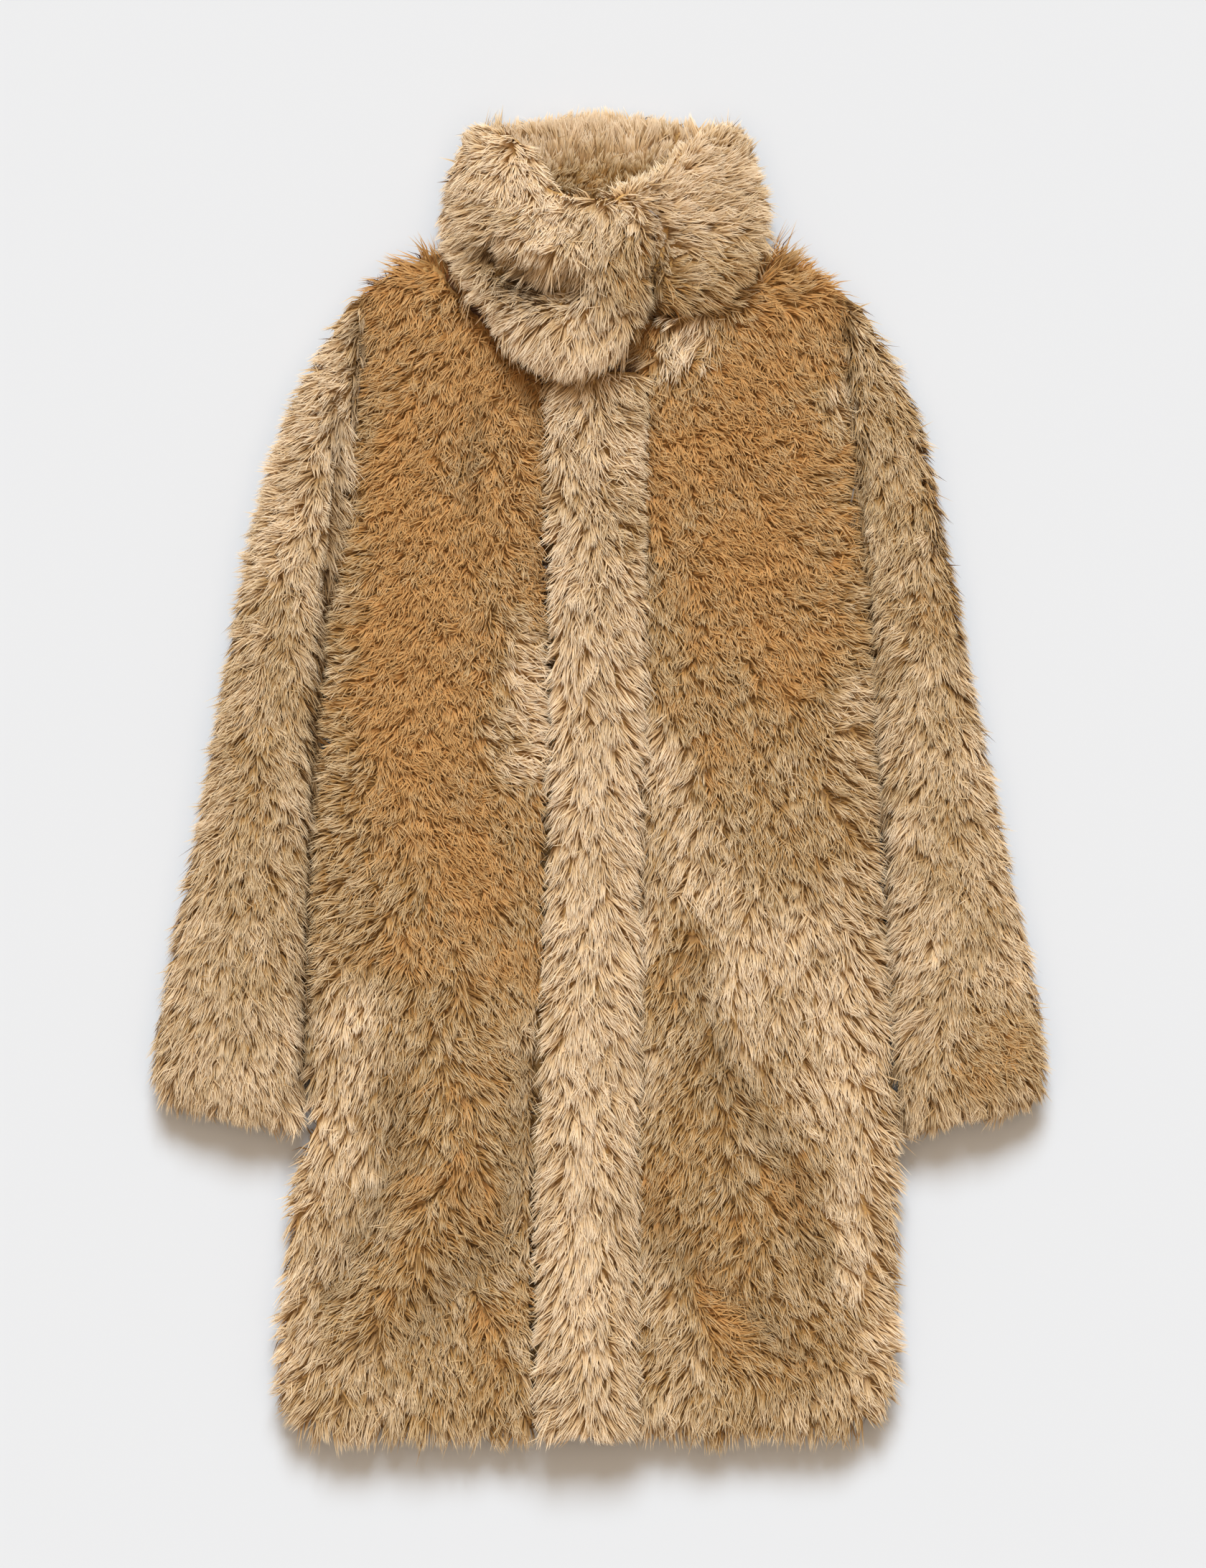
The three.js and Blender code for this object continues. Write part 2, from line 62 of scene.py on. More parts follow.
# How the pile is brushed: short lines in plan, in mm. Each has its name, its two ends, where the tips
# head in degrees (0 towards the hem, positive to the viewer's right), how far the pile stands
# (0 combed flat, 1 upright), its tone (0 pale, 0.5 brown, 1 golden) and its share of the full length.
# Rows in valleys, creases and hollows have a darker tone that is partly painted shade
FLOW = {
    "front_right": [
        ("shoulder edge", (-168, 384), (-150, 392), -100, 0.5, 0.85, 0.8),
        ("shoulder edge, by the collar", (-138, 397), (-122, 402), -120, 0.4, 0.85, 1.6),
        ("shoulder", (-174, 368), (-107, 355), -20, 0.6, 0.9, 1),
        ("beside the collar", (-104, 335), (-66, 308), -30, 0.6, 1, 1),
        ("armhole, upper", (-182, 288), (-196, 177), -70, 0.4, 0.6, 1),
        ("armhole, lower", (-199, 155), (-210, -12), -85, 0.35, 0.5, 1),
        ("side seam", (-216, -39), (-218, -139), -60, 0.3, 0.45, 1),
        ("chest, outer", (-152, 266), (-163, 44), -40, 0.9, 1.05, 1),
        ("chest, middle", (-107, 211), (-118, 44), -10, 1, 1.08, 1),
        ("trough beside the collar point", (-96, 266), (-99, 161), 10, 0.6, 0.8, 1),
        ("ridge beside the trough", (-74, 266), (-74, 211), -20, 0.9, 0.9, 1),
        ("placket edge, upper", (-55, 266), (-55, 122), 60, 0.8, 0.9, 1),
        ("pale tufts at the placket", (-60, 110), (-54, -1), 75, 0.3, -0.1, 1),
        ("waist, gold", (-135, 16), (-100, -80), 40, 0.85, 1.05, 1),
        ("placket edge, waist", (-52, -30), (-49, -112), 20, 0.4, 0.75, 1),
        ("below the waist", (-120, -125), (-80, -150), 15, 0.5, 0.85, 1),
        ("above the pocket, left", (-185, -118), (-152, -100), -45, 0.4, 0.6, 1),
        ("pocket whorl, left", (-174, -101), (-156, -106), -70, 0.4, 0.5, 1),
        ("pocket whorl, right", (-141, -102), (-124, -114), 40, 0.5, 0.8, 1),
        ("thigh, outer", (-188, -178), (-205, -345), -12, 0.1, 0.08, 1),
        ("thigh, lowest", (-222, -370), (-226, -440), -30, 0.15, 0.15, 1),
        ("long ridge, left side, upper", (-128, -160), (-128, -262), -20, 0.3, 0.52, 1),
        ("long ridge, left side, middle", (-117, -305), (-145, -359), -40, 0.35, 0.65, 1),
        ("long ridge, left side, lower", (-152, -382), (-195, -420), -50, 0.35, 0.5, 1),
        ("long ridge, right side, upper", (-98, -170), (-97, -262), 50, 0.35, 0.55, 1),
        ("long ridge, right side, middle", (-99, -312), (-123, -367), 50, 0.35, 0.6, 1),
        ("long ridge, right side, lower", (-126, -395), (-160, -423), 45, 0.3, 0.45, 1),
        ("between the ridges", (-80, -289), (-80, -378), 42, 0.25, 0.5, 1),
        ("valley beside the placket", (-50, -190), (-56, -451), 15, 0.3, 0.45, 1),
        ("below the long ridge", (-130, -401), (-152, -456), -5, 0.3, 0.45, 1),
        ("short ridge, right side", (-67, -409), (-61, -467), 60, 0.4, 0.5, 1),
        ("short ridge, left side", (-83, -417), (-76, -470), -10, 0.45, 0.72, 1),
        ("long ridge, its line", (-113, -262), (-108, -318), -5, 0.35, 0.85, 1),
        ("hem", (-224, -501), (-52, -506), 0, 0.2, 0.3, 1.4),
        ("side edge, lower", (-243, -290), (-246, -470), -48, 0.15, 0.15, 1),
    ],
    "front_left": [
        ("shoulder edge", (156, 391), (176, 382), 105, 0.45, 0.95, 0.9),
        ("shoulder edge, by the collar", (124, 402), (144, 396), 120, 0.4, 0.85, 1.8),
        ("beside the collar", (100, 372), (136, 388), 80, 0.4, 0.92, 1),
        ("shoulder", (137, 366), (187, 348), 25, 0.5, 1, 1),
        ("pale streak beside the lobe", (68, 349), (57, 326), -32, 0, -0.9, 1.2),
        ("left of the streak", (46, 338), (40, 308), -10, 0.6, 0.9, 1),
        ("right of the streak", (92, 346), (74, 308), 20, 0.7, 0.9, 1),
        ("below the collar", (62, 326), (165, 318), 40, 0.75, 1.05, 1),
        ("tufts at the armhole", (182, 311), (198, 283), 30, 0.1, 0.1, 1),
        ("armhole, upper", (194, 255), (209, 99), 80, 0.3, 0.5, 1),
        ("chest, outer", (164, 236), (178, 120), 60, 0.75, 0.85, 1),
        ("armhole, lower", (207, 72), (215, -67), 65, 0.25, 0.3, 1),
        ("side seam", (220, -95), (223, -206), 50, 0.2, 0.2, 1),
        ("chest, upper", (65, 266), (148, 266), 40, 0.95, 1.08, 1),
        ("chest, lower", (54, 183), (137, 166), 35, 0.95, 1.08, 1),
        ("below the chest", (84, 112), (150, 92), 30, 0.7, 0.9, 1),
        ("strip beside the placket", (45, 177), (54, 72), 5, 0.4, 0.5, 1),
        ("golden wedge", (62, 60), (98, -17), 20, 0.75, 0.85, 1),
        ("below the wedge", (104, -32), (122, -70), 10, 0.4, 0.5, 1),
        ("placket edge, below the wedge", (45, 27), (70, -28), -30, 0.1, 0.05, 1),
        ("placket edge, middle", (38, -12), (38, -234), -15, 0.15, 0.2, 1),
        ("waist", (70, -56), (98, -95), -25, 0.1, 0.1, 1),
        ("waist, outer", (137, 30), (172, -60), 15, 0.35, 0.5, 1),
        ("hip", (120, -112), (176, -178), 5, 0.1, 0.05, 1),
        ("hip, inner", (92, -125), (108, -200), 5, 0.1, 0.15, 1),
        ("ridge, left side, upper", (62, -120), (84, -284), -30, 0.3, 0.55, 1),
        ("ridge, left side, lower", (95, -312), (108, -367), -35, 0.35, 0.6, 1),
        ("ridge, right side, upper", (101, -245), (115, -289), 30, 0.3, 0.5, 1),
        ("ridge, right side, lower", (123, -312), (140, -345), 25, 0.3, 0.5, 1),
        ("hollow below the ridge", (84, -400), (104, -428), 70, 0.5, 0.95, 1),
        ("ridge, right side, end", (134, -314), (142, -322), 35, 0.4, 0.9, 1),
        ("golden tips at the placket", (38, -330), (42, -350), -30, 0.3, 0.8, 1),
        ("placket edge, lower", (48, -373), (59, -456), -30, 0.2, 0.3, 1),
        ("thigh, outer", (137, -373), (166, -428), 35, 0.25, 0.5, 1),
        ("thigh, pale", (190, -230), (202, -400), 12, 0.1, 0.1, 1),
        ("side edge, lower", (226, -262), (230, -470), 46, 0.1, 0.2, 1),
        ("hem", (37, -503), (200, -498), 0, 0.25, 0.35, 1.2),
    ],
    "sleeve_right": [
        ("outer, upper", (-230, 288), (-257, 155), -70, 0.35, 0.1, 1),
        ("outer, middle", (-268, 111), (-296, -39), -50, 0.3, 0.35, 1),
        ("outer, lower", (-307, -67), (-330, -206), -30, 0.15, 0.2, 1),
        ("inner, upper", (-207, 238), (-218, 99), 35, 0.3, 0.2, 1),
        ("inner, middle", (-230, 72), (-235, -95), 32, 0.3, 0.35, 1),
        ("inner, lower", (-241, -123), (-241, -234), 25, 0.2, 0.2, 1),
        ("parting, upper", (-235, 155), (-249, 44), 0, 0.45, 0.45, 1),
        ("parting, lower", (-255, -39), (-268, -151), 0, 0.4, 0.45, 1),
        ("cuff", (-335, -251), (-241, -267), 0, 0.15, 0.2, 1),
    ],
    "sleeve_left": [
        ("inner, upper", (254, 211), (226, 99), -40, 0.35, 0.4, 1),
        ("inner, lower", (237, 44), (243, -178), -35, 0.2, 0.2, 1),
        ("parting, upper", (254, 266), (266, 99), 0, 0.5, 0.55, 1),
        ("parting, lower", (269, 44), (273, -95), 0, 0.35, 0.4, 1),
        ("outer, upper", (254, 288), (270, 177), 40, 0.3, 0.3, 1),
        ("outer, middle", (282, 99), (304, -39), 40, 0.2, 0.2, 1),
        ("outer, lower", (315, -95), (332, -178), 30, 0.2, 0.2, 1),
        ("whorl near the cuff", (306, -214), (310, -221), 60, 0.7, 0.8, 1),
        ("cuff", (254, -267), (326, -262), 0, 0.15, 0.2, 1),
    ],
    "placket": [
        ("upper end, left", (-27, 283), (-27, 200), -40, 0.3, 0.15, 1),
        ("upper end, right", (14, 288), (23, 155), 60, 0.35, 0.25, 1),
        ("upper end, middle", (-13, 290), (-14, 205), 12, 0.35, 0.2, 1),
        ("ridge", (-15, 111), (-6, -456), 0, 0.15, 0, 1),
        ("left edge, upper", (-34, 183), (-36, -178), -40, 0.15, 0, 1),
        ("right edge, upper", (18, 99), (21, -178), 38, 0.15, 0.05, 1),
        ("left edge, lower", (-38, -206), (-40, -501), -40, 0.15, 0.1, 1),
        ("right edge, lower", (12, -206), (10, -501), 32, 0.15, 0.1, 1),
    ],
    "collar": [
        ("left rim, top", (-102, 494), (-63, 505), -150, 0.45, 0.1, 0.5),
        ("left silhouette, upper", (-107, 474), (-110, 438), -80, 0.4, 0.15, 0.5),
        ("left silhouette, lower", (-112, 418), (-126, 394), -50, 0.3, 0.1, 0.8),
        ("left face, lower locks", (-107, 408), (-84, 386), -70, 0.15, 0.1, 1),
        ("left face, above the buckle", (-93, 422), (-63, 433), -62, 0.15, 0.15, 1),
        ("left face, middle", (-82, 462), (-62, 433), -25, 0.35, 0.1, 0.95),
        ("left face, upper", (-84, 492), (-72, 470), -60, 0.3, 0, 0.95),
        ("left front edge, outer", (-60, 486), (-48, 456), 25, 0.4, -0.1, 0.7),
        ("left front edge", (-50, 486), (-38, 456), 55, 0.4, -0.1, 0.6),
        ("front edge, middle", (-28, 449), (12, 446), 5, 0.4, -0.1, 0.55),
        ("below the front edge", (-26, 436), (14, 434), -3, 0.3, 0.1, 0.8),
        ("roll over the buckle", (-72, 412), (-20, 399), -33, 0.05, -0.2, 1.1),
        ("front, centre", (-30, 422), (15, 416), -25, 0.35, 0.3, 1),
        ("front, right of centre", (18, 433), (28, 392), -4, 0.45, 0.3, 0.75),
        ("below the buckle", (-74, 370), (-24, 360), -50, 0.15, 0.2, 0.7),
        ("lobe, left edge", (-99, 363), (-62, 322), 22, 0.1, 0, 1.25),
        ("lobe, left", (-82, 355), (-63, 341), -50, 0.15, 0, 1.1),
        ("lobe, middle", (-41, 350), (-35, 327), -35, 0.1, 0, 1.1),
        ("lobe, right of middle", (-13, 355), (-10, 322), -12, 0.1, 0, 1.1),
        ("lobe, right", (9, 361), (7, 327), 8, 0.15, 0.15, 1),
        ("lobe, right edge", (26, 378), (30, 350), 14, 0.3, 0.3, 0.8),
        ("hollow beside the lobe", (40, 366), (66, 344), 60, 0.6, 1, 0.9),
        ("right front edge", (27, 456), (60, 480), -140, 0.45, 0, 0.55),
        ("beside the right front edge", (42, 452), (74, 474), 120, 0.8, 0.05, 0.7),
        ("right rim, top", (70, 497), (109, 494), 150, 0.45, 0.1, 0.5),
        ("right silhouette", (122, 472), (128, 444), 98, 0.35, 0.1, 0.5),
        ("right silhouette, lower", (124, 434), (136, 412), 38, 0.3, 0.15, 0.8),
        ("right face, upper", (70, 461), (109, 463), 105, 0.2, 0.05, 1),
        ("right face, left", (40, 433), (59, 427), 85, 0.3, 0.2, 1),
        ("right face, middle", (70, 433), (112, 427), 108, 0.25, 0.05, 1),
        ("right face, lower", (57, 408), (93, 398), 72, 0.2, 0.35, 1),
        ("right face, lowest", (106, 404), (136, 414), 62, 0.2, 0.4, 1.4),
        ("right face, neck edge", (62, 374), (116, 390), 66, 0.25, 0.7, 1.3),
        ("in the crease beside the lobe", (42, 402), (36, 366), 60, 0.4, 0.62, 0.6),
    ],
    "collar_inner": [
        ("rim", (-49, 502), (68, 505), 180, 0.1, 0, 1.5),
        ("middle", (-41, 480), (62, 480), 178, 0.15, 0, 1),
        ("neck, left", (-30, 458), (4, 454), 150, 0.3, 0.65, 1),
        ("neck, right", (9, 454), (54, 466), -160, 0.3, 0.6, 1),
    ],
    "back": [
        ("left half", (-120, 330), (-140, -480), -12, 0.05, 0.45, 1),
        ("middle", (0, 400), (0, -480), 0, 0.05, 0.5, 1),
        ("right half", (120, 330), (140, -480), 12, 0.05, 0.45, 1),
    ],
}

# Creases of the cloth below the pile, in mm: their two ends in plan, their width, and how far they rise
CREASES = {
    "collar": [
        ((-75, 399), (-63, 384), 9, -9),
        ((-63, 383), (-42, 374), 11, -14),
        ((-42, 374), (-18, 377), 10, -11),
        ((-68, 412), (-24, 399), 10, 4),
        ((40, 372), (66, 348), 12, -4),
    ],
    "front_left": [
        ((40, 366), (72, 336), 14, -4),
        ((58, 300), (60, 180), 9, -3),
        ((70, -130), (97, -216), 12, -3),
        ((97, -216), (148, -309), 13, -4),
        ((88, -200), (124, -360), 11, 4),
        ((46, -334), (97, -402), 12, -4),
        ((97, -402), (150, -442), 13, -5),
    ],
    "front_right": [
        ((-58, 300), (-54, 150), 9, -3),
        ((-112, -150), (-110, -300), 13, 4),
        ((-110, -300), (-170, -420), 13, 5),
        ((-155, -235), (-155, -297), 13, -4),
        ((-155, -297), (-205, -400), 14, -5),
        ((-55, -215), (-74, -345), 12, -4),
        ((-74, -345), (-139, -417), 12, -5),
        ((-90, -405), (-70, -470), 10, 3),
    ],
    "back": [
        ((-150, 120), (-90, 60), 16, -3),
        ((60, 20), (140, -40), 20, -2.5),
        ((-120, -180), (-100, -330), 22, 3),
        ((80, -210), (112, -400), 26, 3.5),
        ((-30, 250), (20, 180), 18, -2),
    ],
    "placket": [((-10, 230), (6, 205), 9, -2), ((-12, -60), (8, -84), 12, -2.5), ((-8, -330), (4, -352), 8, -1.5)],
    "sleeve_right": [
        ((-262, 60), (-232, 40), 12, -3),
        ((-284, -30), (-240, -62), 16, -2.5),
        ((-240, 215), (-226, 150), 12, -3),
    ],
    "sleeve_left": [
        ((236, 76), (270, 44), 13, -3),
        ((246, -70), (296, -40), 15, -2.5),
        ((238, 230), (226, 168), 12, -2),
    ],
}

# The lines where the sleeves meet the body, in mm, from the shoulder to the cuff
RIGHT_SEAM = [(-200, 292), (-212, 160), (-224, 31), (-233, -230)]
LEFT_SEAM = [(200, 259), (208, 175), (216, 127), (218, 44), (226, -58), (227, -151), (233, -262)]


def seam_rows(name, line, width, darkness):
    """The rows of HOLLOWS along a seam."""
    return [(name, start, end, width, darkness) for start, end in zip(line, line[1:])]


# Hollows and seams where the pile is darkened with painted shade, in mm: each has its name, its two ends
# in plan, its width and how dark the painted shade is (1 darkest). No hair crosses one darker than PARTED
HOLLOWS = {
    "collar": [
        ("buckle, left", (-82, 406), (-64, 384), 10, 0.95),
        ("buckle, middle", (-64, 384), (-42, 373), 16, 1),
        ("buckle, right", (-42, 373), (-16, 376), 13, 1),
        ("beside the lobe, lower", (33, 336), (38, 369), 7, 1),
        ("beside the lobe, middle", (38, 369), (46, 393), 6, 0.9),
        ("beside the lobe, upper", (46, 393), (54, 420), 5, 0.5),
        ("front rim", (-33, 451), (1, 445), 2, 0.5),
    ],
    "front_left": [
        ("beside the placket, upper", (33, 300), (34, 60), 5, 0.5),
        ("beside the placket, lower", (34, 60), (27, -500), 6, 0.65),
        ("fold, upper", (72, -132), (97, -216), 15, 0.35),
        ("fold, middle", (97, -216), (148, -309), 16, 0.45),
        ("fold, lower", (148, -309), (172, -376), 14, 0.35),
        ("lower fold, left", (46, -334), (97, -402), 14, 0.45),
        ("lower fold, right", (97, -402), (150, -442), 15, 0.45),
        *seam_rows("side", LEFT_SEAM, 3, 0.15),
    ],
    "front_right": [
        ("beside the placket", (-50, 310), (-48, 150), 6, 0.35),
        ("trough beside the collar point", (-92, 296), (-95, 210), 7, 0.45),
        ("fold, left, upper", (-155, -235), (-155, -297), 14, 0.4),
        ("fold, left, lower", (-155, -297), (-205, -400), 16, 0.45),
        ("fold, right, upper", (-55, -215), (-74, -345), 13, 0.42),
        ("fold, right, lower", (-74, -345), (-139, -417), 15, 0.45),
        *seam_rows("side", RIGHT_SEAM, 3, 0.15),
    ],
    "sleeve_left": seam_rows("upper", LEFT_SEAM[:4], 5, 0.7) + seam_rows("lower", LEFT_SEAM[3:], 7, 0.95),
    "sleeve_right": seam_rows("upper", RIGHT_SEAM[:2], 5, 0.6) + seam_rows("lower", RIGHT_SEAM[1:], 7, 0.95),
}

# Each piece: the size of its mesh's cells, how deep the pile is, how far the cloth draws in from the outline
# for it, how far the pile hangs over the rim and crosses a seam, in mm, how dark the painted shade at a seam
# is, how many hairs, how many locks gather into a tuft, how much longer its hairs are, the cut's width,
# length and area in m (all round on a sleeve), what it rests on, and the slot that picks its materials
PIECES = {
    "back": {
        "cell": 10, "pile": 9, "inset": 9, "overhang": 10, "crossing": 2, "seam": 0.5, "hairs": 16000,
        "tuft": 6, "longer": 1,
        "flat": (0.49, 0.95), "area": 0.42, "rests_on": ["floor"], "slot": "golden_pile",
    },
    "front_right": {
        "cell": 8, "pile": 11, "inset": 8, "overhang": 12, "crossing": 3, "seam": 0.6, "hairs": 60000,
        "tuft": 6, "longer": 1,
        "flat": (0.22, 0.93), "area": 0.185, "rests_on": ["back"], "slot": "golden_pile",
    },
    "front_left": {
        "cell": 8, "pile": 11, "inset": 8, "overhang": 12, "crossing": 3, "seam": 0.6, "hairs": 60000,
        "tuft": 6, "longer": 1,
        "flat": (0.27, 0.93), "area": 0.225, "rests_on": ["back"], "slot": "golden_pile",
    },
    "placket": {
        "cell": 6, "pile": 8, "inset": 2, "overhang": 6, "crossing": 3, "seam": 0.3, "hairs": 24000,
        "tuft": 7, "longer": 1.1,
        "flat": (0.078, 0.83), "area": 0.063, "rests_on": ["front_left"], "slot": "pale_pile",
    },
    "sleeve_right": {
        "cell": 0, "pile": 10, "inset": 10, "overhang": 12, "crossing": 1, "seam": 0.7, "hairs": 43000,
        "tuft": 7, "longer": 1.08,
        "flat": (0.25, 0.66), "area": 0.115, "rests_on": ["floor"], "slot": "golden_pile",
    },
    "sleeve_left": {
        "cell": 0, "pile": 10, "inset": 10, "overhang": 12, "crossing": 1, "seam": 0.7, "hairs": 43000,
        "tuft": 7, "longer": 1.08,
        "flat": (0.25, 0.66), "area": 0.115, "rests_on": ["floor"], "slot": "golden_pile",
    },
    "collar": {
        "cell": 6, "pile": 6.5, "inset": 6, "overhang": 7, "crossing": 12, "seam": 0, "hairs": 44000,
        "tuft": 12, "longer": 1.25,
        "flat": (0.66, 0.14), "area": 0.06, "rests_on": ["front_right", "front_left", "back"],
        "slot": "pale_pile",
    },
}


def to_linear(hex_colour):
    """An sRGB hex colour as linear red, green and blue."""
    channels = [int(hex_colour[i : i + 2], 16) / 255 for i in (1, 3, 5)]
    return [c / 12.92 if c <= 0.04045 else ((c + 0.055) / 1.055) ** 2.4 for c in channels]


def colour_property(name, description, hex_colour):
    return FloatVectorProperty(
        name=name, description=description, default=to_linear(hex_colour), subtype="COLOR", min=0, max=1
    )


class PileSizes(bpy.types.PropertyGroup):
    """Sizes of the pile and of the cloth below it."""

    combed_length: FloatProperty(
        name="Combed length", description="Length of a hair that lies combed", default=0.0205, unit="LENGTH"
    )
    standing_length: FloatProperty(
        name="Standing length", description="Length shown by a hair that stands", default=0.0155, unit="LENGTH"
    )
    inner_length: FloatProperty(
        name="Inner length", description="Length on the collar's inner face", default=0.018, unit="LENGTH"
    )
    hair_width: FloatProperty(
        name="Hair width", description="Width of a strand at its widest", default=0.0009, unit="LENGTH"
    )
    hairs_per_lock: IntProperty(
        name="Hairs a lock", description="How many strands gather into one lock", default=12, min=2
    )
    contact_depth: FloatProperty(
        name="Contact depth", description="How far cloth draws in where pieces touch", default=0.0004, unit="LENGTH"
    )
    floor_depth: FloatProperty(
        name="Floor depth", description="How far cloth draws in where it lies on the floor", default=0.003, unit="LENGTH"
    )


class PileColours(bpy.types.PropertyGroup):
    """Colours of the pile, from root to tip, and of its knitted backing."""

    pale_root: colour_property("Pale root", "Root of the combed, pale pile", "#a97b46")
    pale_middle: colour_property("Pale middle", "Middle of the combed, pale pile", "#d2b083")
    pale_tip: colour_property("Pale tip", "Tip of the combed, pale pile", "#eed6b5")
    golden_root: colour_property("Golden root", "Root of the standing, golden pile", "#ae763a")
    golden_middle: colour_property("Golden middle", "Middle of the standing, golden pile", "#b17d42")
    golden_tip: colour_property("Golden tip", "Tip of the standing, golden pile", "#c69a60")
    brown_root: colour_property("Brown root", "Root of combed pile with its roots showing", "#69461d")
    brown_middle: colour_property("Brown middle", "Middle of combed pile with its roots showing", "#966e38")
    brown_tip: colour_property("Brown tip", "Tip of combed pile with its roots showing", "#d8bb8e")
    # painted shade: the dark pile of hollows and seams, standing in for the shade that falls there
    painted_shade_root: colour_property("Hollow root", "Root of pile in a hollow or at a seam", "#3c260e")
    painted_shade_tip: colour_property("Hollow tip", "Tip of pile in a hollow or at a seam", "#805e33")
    golden_backing: colour_property("Golden backing", "Knitted backing below the golden pile", "#bb9058")
    pale_backing: colour_property("Pale backing", "Knitted backing below the pale pile", "#b98f56")


class StageSettings(bpy.types.PropertyGroup):
    """The floor, the light and the camera."""

    floor: colour_property("Floor", "Plain pale floor", "#cfcfcf")
    camera_height: FloatProperty(
        name="Camera height", description="Distance from the camera to the coat", default=4.0, unit="LENGTH"
    )
    frame_height: FloatProperty(
        name="Frame height", description="Height of the picture at the coat", default=1.2133, unit="LENGTH"
    )
    sun_colour: colour_property("Sun colour", "Colour of the main light", "#e3f1ff")
    sun_strength: FloatProperty(name="Sun strength", description="Strength of the main light", default=4.53)
    sun_elevation: FloatProperty(
        name="Sun elevation", description="Height of the main light", default=math.radians(42), subtype="ANGLE"
    )
    sun_spread: FloatProperty(
        name="Sun spread", description="How wide the main light is", default=math.radians(24), subtype="ANGLE"
    )
    fill_colour: colour_property("Fill colour", "Colour of the overhead and the even light", "#ffebd4")
    overhead_strength: FloatProperty(
        name="Overhead strength", description="Strength of the soft light from straight above", default=1.04
    )
    overhead_spread: FloatProperty(
        name="Overhead spread", description="How wide the overhead light is", default=math.radians(70), subtype="ANGLE"
    )
    fill_strength: FloatProperty(name="Fill strength", description="Strength of the even light", default=0.305)


def link(obj):
    bpy.context.scene.collection.objects.link(obj)
    return obj


def unit(vectors):
    return vectors / np.maximum(np.linalg.norm(vectors, axis=-1, keepdims=True), 1e-9)


def dot(a, b):
    return np.sum(a * b, axis=-1, keepdims=True)


def read(collection, key, width, kind=np.float64):
    values = np.empty(len(collection) * width, kind)
    collection.foreach_get(key, values)
    return values.reshape(-1, width) if width > 1 else values


def tree_of(meshes):
    """One search tree of several meshes."""
    points = []
    faces = []
    for mesh in meshes:
        first = len(points)
        mesh.calc_loop_triangles()
        points.extend(read(mesh.vertices, "co", 3).tolist())
        faces.extend((read(mesh.loop_triangles, "vertices", 3, np.int32) + first).tolist())
    return BVHTree.FromPolygons(points, faces, all_triangles=True)


def relaxed(values, edges, rounds):
    """Values on the vertices, evened out along the edges."""
    count = np.bincount(edges.ravel(), minlength=len(values)).astype(float)
    shape = (-1,) + (1,) * (values.ndim - 1)
    for _ in range(rounds):
        total = np.zeros_like(values)
        np.add.at(total, edges[:, 0], values[edges[:, 1]])
        np.add.at(total, edges[:, 1], values[edges[:, 0]])
        values = (values + total / count.reshape(shape)) / 2
    return values


def segment_distance(places, start, end):
    """How far places in plan are from a short line."""
    a = np.array(start, float)
    along = np.array(end, float) - a
    share = np.clip((places - a) @ along / max(along @ along, 1e-9), 0, 1)
    return np.linalg.norm(places - a - share[:, None] * along, axis=1)


RIM_SIGHT = 60 * MM  # a rim looks out over at least this far
RIM_REACH = 32 * MM  # how far in from the rim the cloth still moves with it
SEAM_PUSH = 2.5 * MM  # how far the cloth reaches out where it is sewn to the next piece
SEAM_DIP = 6 * MM  # how deep the seam lies between two pieces
SEAM_WIDTH = 13 * MM


def fine_copy(name, cell):
    """The node's form as one closed mesh with even cells; a sleeve keeps its own, split finer."""
    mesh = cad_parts[name].data.copy()
    joined = bmesh.new()
    joined.from_mesh(mesh)
    bmesh.ops.remove_doubles(joined, verts=joined.verts, dist=0.00002)
    joined.to_mesh(mesh)
    joined.free()
    source = link(bpy.data.objects.new(f"{name}_source", mesh))
    if cell:
        remesh = source.modifiers.new("Cells", "REMESH")
        remesh.mode = "VOXEL"
        remesh.voxel_size = cell * MM
    else:
        source.modifiers.new("Cells", "SUBSURF").levels = 1
    fine = bpy.data.meshes.new_from_object(source.evaluated_get(bpy.context.evaluated_depsgraph_get()))
    bpy.data.objects.remove(source)
    bpy.data.meshes.remove(mesh)
    fine.name = f"{name}_cloth"
    return fine


def crease(mesh, lines):
    """Presses the creases into the cloth, or lets them rise, through its whole thickness."""
    points = read(mesh.vertices, "co", 3)
    for start, end, width, rise in lines:
        away = segment_distance(points[:, :2] / MM, start, end)
        points[:, 2] += rise * MM * np.exp(-((away / width) ** 2))
    points[:, 2] = np.maximum(points[:, 2], MM)
    mesh.vertices.foreach_set("co", points.ravel())
    mesh.update()


